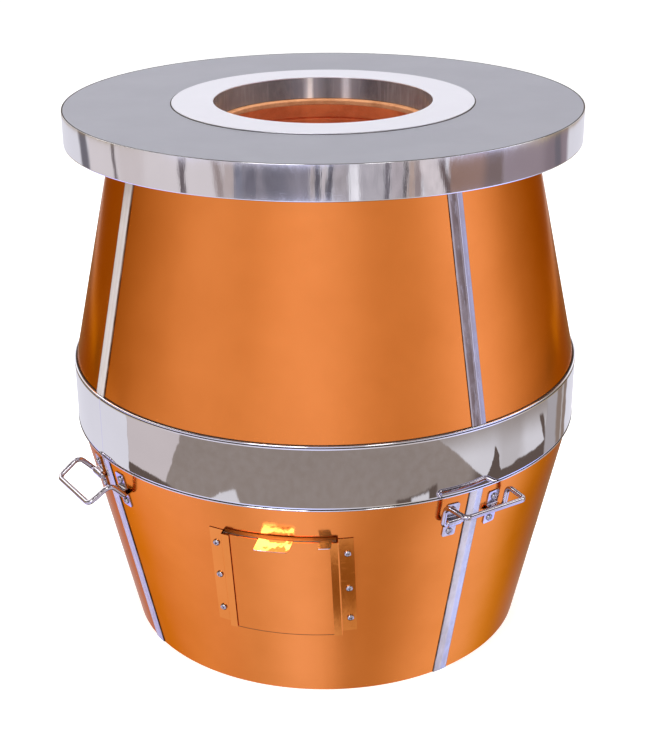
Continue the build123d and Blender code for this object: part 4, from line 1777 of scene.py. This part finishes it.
softBoxes = (
    # azimuths from and to, elevations from and to, strength
    (-36, -9, 23, 42, 9.0),
    (19, 31, 25, 42, 7.0),
    (95, 120, 25, 60, 3.0),
    (-150, -120, 25, 60, 3.0),
)
pale = (0.84, 0.83, 0.89)
rimCards = (
    # azimuths from and to, softness, lean over the rim's height, colour
    (-121, -37, 2, 0, (0.79, 0.73, 0.75)),
    (-97, -82, 3, 0, (0.72, 0.65, 0.66)),
    (-129.5, -121, 1.6, 3, (0.19, 0.18, 0.21)),
    (-101.6, -99.2, 0.5, 1, (0.20, 0.17, 0.18)),
    (-63.4, -60.2, 0.6, 0, (0.16, 0.13, 0.14)),
    (-46.6, -42.8, 1.2, 2, (0.37, 0.30, 0.29)),
    (-42.6, -37.6, 0.6, 0, (0.55, 0.47, 0.46)),
    (-37.6, -5.6, 0.4, 0, (0.27, 0.25, 0.29)),
    (-37.6, -34, 1, 0, (0.24, 0.24, 0.30)),
    (-33.5, -28.5, 1, 0, (0.18, 0.17, 0.21)),
    (-24.5, -15, 2, 2, (0.18, 0.17, 0.205)),
    (-5.6, -3.6, 0.5, 0, (0.46, 0.40, 0.39)),
    (-3.6, -1.0, 0.4, 0.5, (0.12, 0.11, 0.13)),
    (-1.0, 1.5, 0.4, 0, (0.64, 0.58, 0.59)),
    (1.5, 4.4, 0.4, -1, (0.12, 0.11, 0.13)),
    (4.4, 10.8, 0.7, 0, (0.45, 0.41, 0.43)),
    (11.2, 14.8, 0.5, 0, (0.95, 0.93, 0.98)),
    (14.8, 25, 0.6, 0, (0.52, 0.49, 0.53)),
    (25, 27.6, 0.5, 0, (0.19, 0.17, 0.20)),
    (27.8, 33.6, 0.5, 0, (0.50, 0.45, 0.48)),
    (33.6, 35.1, 0.3, 0, (0.15, 0.13, 0.14)),
    (35.3, 38, 0.4, 0, (0.52, 0.40, 0.35)),
    (38, 41.2, 0.4, 0, (0.36, 0.29, 0.29)),
    (41.6, 51.4, 0.5, 2.5, (0.76, 0.69, 0.71)),
    (50.8, 54.4, 0.6, 4, (0.14, 0.095, 0.09)),
    (54.4, 77, 0.8, 1, (0.33, 0.205, 0.165)),
    (72, 84, 3, 0, (0.21, 0.15, 0.14)),
    (82, 131, 2.0, 0, (0.34, 0.275, 0.31)),
    (110, 126, 5.0, 0, (0.27, 0.215, 0.245)),
    (118.5, 124, 1.5, 2, (0.19, 0.17, 0.20)),
)
rimDrawing = {
    "middle": 0.832,             # height about which the cards lean
    "height": 0.0515,
    "wobble": 2.4,               # degrees
    "mottle": 0.35,              # how cloudy the front cards are
    "mottleSpan": (-39, 57, 3),
    "mottleEdges": (0.35, 0.65),
    "mottleTints": ((0.35, 0.35, 0.38), (1.5, 1.5, 1.5)),
}
# The floor of the room as the waist band shows it. A card is azimuths from and to, and softness.
# An edge is an azimuth, the drop there and its growth by the degree: a drop is a share of the
# band's height, from its top. A lean is how far a card's side shifts over the whole height.
bandDrawing = {
    "wobble": (5, 0.07),         # of azimuth and of drop
    "frontColor": (0.315, 0.26, 0.228),
    "pinkColor": (0.68, 0.61, 0.61),
    "darkColor": (0.135, 0.10, 0.085),
    "greyColor": (0.37, 0.32, 0.295),
    "brightColor": (0.78, 0.76, 0.79),
    "brownColor": (0.30, 0.23, 0.19),
    "sideColor": (0.46, 0.43, 0.44),
    "streakColor": (0.5, 0.45, 0.43),
    "clouding": 0.5,
    "cloudEdges": (0.3, 0.7),
    "front": (-72, 134, 0.8),
    "frontLean": 4,
    "leftDark": (-100.5, -58, 0.4),
    "leftEdges": ((-100, 0.60, 0.0075), (-77, 0.77, 0.014)),
    "pink": (-100.5, -60, 0.4),
    "pinkEnd": (-68, 0.5),
    "pinkLean": 12,
    "patchStart": (-62, 0.5),
    "patchEnd": (-50, 0.6),
    "patchLean": -13,
    "patchEdges": ((-48, 0.75, -0.019), (-48, 0.75, -0.01)),
    "shadow": (32, 51, 1),
    "shadowEdge": (0, 1.14, -0.009),
    "glint": (35, 43, 0.6),
    "glintLean": -4,
    "glintEdge": (0, 1.17, -0.009),
    "right": (51.5, 119, 0.6),
    "ridgeRise": (51.6, 0.11, 0.034),
    "ridgeTop": 0.93,
    "ridgeFall": (0, 1.75, -0.0075),
    "ridgeTilt": 0.0032,
    "notch": (82, 4.5, 0.4),     # azimuth, reach and depth
    "brightDrop": (-0.15, 0.4),
    "fold": (92, 4, 12, 0.6),    # azimuth, reach from and to, and level
    "rightDark": (74, 84),
    "rightDarkLean": 14,
    "line": (112, 115, 0.5),
    "lineLean": -13,
    "lineTop": (0.05, 0.03),
    "sideCard": (119, 133, 1),
    "brownCard": (131, 144, 1.5),
    "streak": (136.5, 138.5, 0.6),
    "end": (144.5, 0.8),
}


class Room:
    # the directions of the room as signals, and the shapes that are drawn with them
    def __init__(self, graph):
        self.graph = graph
        direction = graph.node("ShaderNodeTexCoord", output="Generated")
        direction = graph.node("ShaderNodeVectorRotate", {"rotation_type": "Z_AXIS"}, {
            "Vector": direction, "Angle": -radians(viewAzimuth),
        })
        x, y, z = [graph.node("ShaderNodeSeparateXYZ", {}, {0: direction}, axis) for axis in "XYZ"]
        self.azimuth = graph.maths("ARCTAN2", x, 0 - y) * degrees(1)
        self.side = graph.maths("ABSOLUTE", self.azimuth)
        self.elevation = graph.maths("ARCSINE", z) * degrees(1)

        # height at which an upright wall of the drum shows this direction to the camera
        wallTurn = self.side * (self.side * mirror["shareGrowth"] + mirror["share"]) * radians(1)
        nearness = graph.maths("COSINE", wallTurn)
        away, radius = view["distance"], band["radius"]
        reach = away * away + radius * radius - nearness * (2 * away * radius)
        reach = graph.maths("SQRT", reach)
        self.height = view["height"] + reach * graph.maths("TANGENT", self.elevation * radians(1))

        across, up = mirror["grain"]
        spots = {0: self.azimuth * across, 1: self.height * up, 2: 0.0}
        drawing = graph.node("ShaderNodeCombineXYZ", {}, spots)
        self.wobble = graph.noise(drawing, 1.0, 2.0) - 0.5
        self.cloud = graph.noise(drawing, mirror["cloudScale"], 4.0, 0.6)

    def within(self, value, low, high, soft):
        # one between low and high, softly down to nothing outside
        away = self.graph.maths("ABSOLUTE", value - (low + high) / 2)
        half = (high - low) / 2
        return self.graph.ramp(away, half - soft, half + soft, 1.0, 0.0)

    def above(self, value, edge, soft):
        return self.graph.ramp(value - edge, -soft, soft)

    def humps(self, level, shapes):
        for middle, reach, rise in shapes:
            away = self.graph.maths("ABSOLUTE", self.azimuth - middle)
            level = level + self.graph.ramp(away, 0, reach, rise, 0.0)
        return level

    def warm(self, level, tint):
        # dim light in the room is warmer, as between copper things
        green, greenPower, blue, bluePower = tint
        parts = {
            "Red": level,
            "Green": self.graph.maths("POWER", level, greenPower) * green,
            "Blue": self.graph.maths("POWER", level, bluePower) * blue,
        }
        return self.graph.node("ShaderNodeCombineColor", {}, parts)

    def tinted(self, factor, color, tint):
        return self.graph.mixed(factor, color, tint, "MULTIPLY")


def wallLayer(room):
    # the soft walls behind and above, the ceiling and the soft boxes in it
    graph, azimuth, elevation = room.graph, room.azimuth, room.elevation
    fall = glow["upperDark"] - glow["upperLevel"]
    level = graph.ramp(azimuth, *glow["upperFadeLeft"], fall, 0.0) + glow["upperLevel"]
    level = level + graph.ramp(azimuth, *glow["upperFadeRight"], 0.0, fall)
    walls = room.warm(room.humps(level, glow["upperHumps"]), glow["upperTint"])
    walls = room.tinted(graph.ramp(room.side, *glow["blushSide"]), walls, glow["upperBlush"])
    zenith = room.above(elevation, *glow["zenithFoot"])
    high = graph.mixed(zenith, glow["ceiling"], glow["zenith"])
    soft = glow["boxSoft"]
    for start, stop, low, top, strength in softBoxes:
        box = room.within(azimuth, start, stop, soft) * room.within(elevation, low, top, soft)
        high = graph.mixed(box, high, [strength] * 3)
    behind = graph.ramp(elevation, *glow["behindTop"], 1.0, 0.0)
    behind = behind * graph.ramp(room.side, *glow["behindSide"])
    high = graph.mixed(behind, high, glow["behind"])
    walls = graph.mixed(room.above(elevation, *glow["ceilingFoot"]), walls, high)
    behind = behind * room.above(elevation, *glow["behindFoot"])
    return graph.mixed(behind, walls, glow["behind"])


def rimLayer(room):
    # the cards that the rim shows, with clouding over those in front
    graph, look = room.graph, rimDrawing
    turned = room.azimuth + room.wobble * look["wobble"]
    rise = room.height - look["middle"]
    rim = pale
    for start, stop, soft, lean, color in rimCards:
        leaning = turned + rise * (lean / look["height"])
        rim = graph.mixed(room.within(leaning, start, stop, soft), rim, color)
    mottle = graph.mixed(graph.ramp(room.cloud, *look["mottleEdges"]), *look["mottleTints"])
    front = room.within(room.azimuth, *look["mottleSpan"]) * look["mottle"]
    return room.tinted(front, rim, mottle)


def bandLayer(room):
    # the drop goes from the band's top edge to its bottom one
    graph, look, within, above = room.graph, bandDrawing, room.within, room.above
    wobbleTurn, wobbleDrop = look["wobble"]
    drop = (drum["bandTop"] - room.height) / (drum["bandTop"] - drum["bandBottom"])
    drop = drop + room.wobble * wobbleDrop
    turned = room.azimuth + room.wobble * wobbleTurn
    dark, bright = look["darkColor"], look["brightColor"]

    def edge(start, depth, growth):
        return (turned - start) * growth + depth

    def lower(first, second):
        return graph.maths("MAXIMUM", first, second)

    def higher(first, second):
        return graph.maths("MINIMUM", first, second)

    def leaning(lean):
        return turned + drop * lean

    clouding = graph.ramp(room.cloud, *look["cloudEdges"]) * look["clouding"]
    front = graph.mixed(clouding, look["frontColor"], look["greyColor"])
    floor = graph.mixed(within(leaning(look["frontLean"]), *look["front"]), pale, front)

    # left: a dark foot under a pink card
    slope = lower(*[edge(*values) for values in look["leftEdges"]])
    under = graph.mixed(above(drop, slope, 0.02), front, dark)
    floor = graph.mixed(within(turned, *look["leftDark"]), floor, under)
    card = within(turned, *look["pink"]) * (1 - above(leaning(look["pinkLean"]), *look["pinkEnd"]))
    floor = graph.mixed(card * (1 - above(drop, slope, 0.01)), floor, look["pinkColor"])

    # front: a bright patch at the lower edge, and a glint in a shadow right of the middle
    card = above(drop, lower(*[edge(*values) for values in look["patchEdges"]]), 0.012)
    card = card * (1 - above(leaning(look["patchLean"]), *look["patchEnd"]))
    floor = graph.mixed(card * above(turned, *look["patchStart"]), floor, bright)
    card = within(turned, *look["shadow"]) * above(drop, edge(*look["shadowEdge"]), 0.02)
    floor = graph.mixed(card, floor, dark)
    card = within(leaning(look["glintLean"]), *look["glint"])
    floor = graph.mixed(card * above(drop, edge(*look["glintEdge"]), 0.02), floor, bright)

    # right: bright above a ridge with a notch, dark below it
    ridge = higher(edge(*look["ridgeRise"]), look["ridgeTop"])
    ridge = higher(ridge, edge(*look["ridgeFall"]))
    middle, reach, depth = look["notch"]
    ridge = ridge - graph.ramp(graph.maths("ABSOLUTE", turned - middle), 0, reach, depth, 0.0)
    ridge = ridge - turned * look["ridgeTilt"]
    middle, near, far, level = look["fold"]
    fold = graph.ramp(graph.maths("ABSOLUTE", turned - middle), near, far, level, 1.0)
    shade = graph.ramp(drop, *look["brightDrop"]) * fold
    over = graph.mixed(shade, look["greyColor"], bright)
    under = graph.mixed(graph.ramp(leaning(look["rightDarkLean"]), *look["rightDark"]), front, dark)
    right = graph.mixed(above(drop, ridge, 0.015), over, under)
    floor = graph.mixed(within(turned, *look["right"]), floor, right)
    card = within(leaning(look["lineLean"]), *look["line"]) * above(drop, *look["lineTop"])
    floor = graph.mixed(card, floor, dark)

    # far right: plain strips, then pale again
    for name, color in (("sideCard", "sideColor"), ("brownCard", "brownColor"), ("streak", "streakColor")):
        floor = graph.mixed(within(turned, *look[name]), floor, look[color])
    return graph.mixed(above(turned, *look["end"]), floor, pale)


def nearLayer(room):
    # steep below the horizon, as the lower cone shows it
    graph, azimuth, elevation = room.graph, room.azimuth, room.elevation
    leftFrom, leftTo, leftRise = glow["lowerFadeLeft"]
    rightFrom, rightTo, rightRise = glow["lowerFadeRight"]
    level = graph.ramp(azimuth, leftFrom, leftTo, leftRise, 0.0)
    level = level + graph.ramp(azimuth, rightFrom, rightTo, 0.0, rightRise)
    level = room.humps(level + glow["lowerLevel"], glow["lowerHumps"])
    fall, depth, soft = glow["steepEdge"]
    steep = graph.ramp(elevation - room.side * fall + depth, 0, soft)
    for start, stop, soft, rise in (glow["lowerTopLeft"], glow["lowerTopRight"]):
        level = level + room.within(azimuth, start, stop, soft) * steep * rise
    start, stop, low, high, doorLevel = glow["doorway"]
    softTurn, softRise = glow["doorwaySoft"]
    doorway = room.within(azimuth, start, stop, softTurn)
    doorway = doorway * room.within(elevation, low, high, softRise)
    level = level + (doorLevel - level) * doorway
    near = room.warm(level * graph.ramp(elevation, *glow["foot"]), glow["lowerTint"])
    for start, stop, soft, blush in glow["lowerBlushes"]:
        near = room.tinted(room.within(azimuth, start, stop, soft), near, blush)
    return near


def studioWorld():
    world = bpy.data.worlds.new("studio")
    world.use_nodes = True
    bpy.context.scene.world = world
    world.cycles.sampling_method = "NONE"
    graph = Graph(world.node_tree)
    room = Room(graph)
    seen = graph.mixed(room.above(room.height, *glow["nearTop"]), nearLayer(room), bandLayer(room))
    seen = graph.mixed(room.above(room.height, *glow["bandLayerTop"]), seen, wallLayer(room))
    seen = graph.mixed(room.within(room.height, *glow["rimLayer"]), seen, rimLayer(room))

    # metal sees the room, other light is plain, and the camera sees white
    glossy = graph.node("ShaderNodeLightPath", output="Is Glossy Ray")
    camera = graph.node("ShaderNodeLightPath", output="Is Camera Ray")
    color = graph.mixed(glossy, [studio["ambient"]] * 3, seen)
    color = graph.mixed(camera, color, (1, 1, 1))
    background = graph.node("ShaderNodeBackground", {}, {"Color": color, "Strength": 1.0})
    graph.node("ShaderNodeOutputWorld", {}, {"Surface": background})


addFloor()
addLamps()
studioWorld()
bpy.context.scene.view_settings.view_transform = "Standard"
print("studio made")
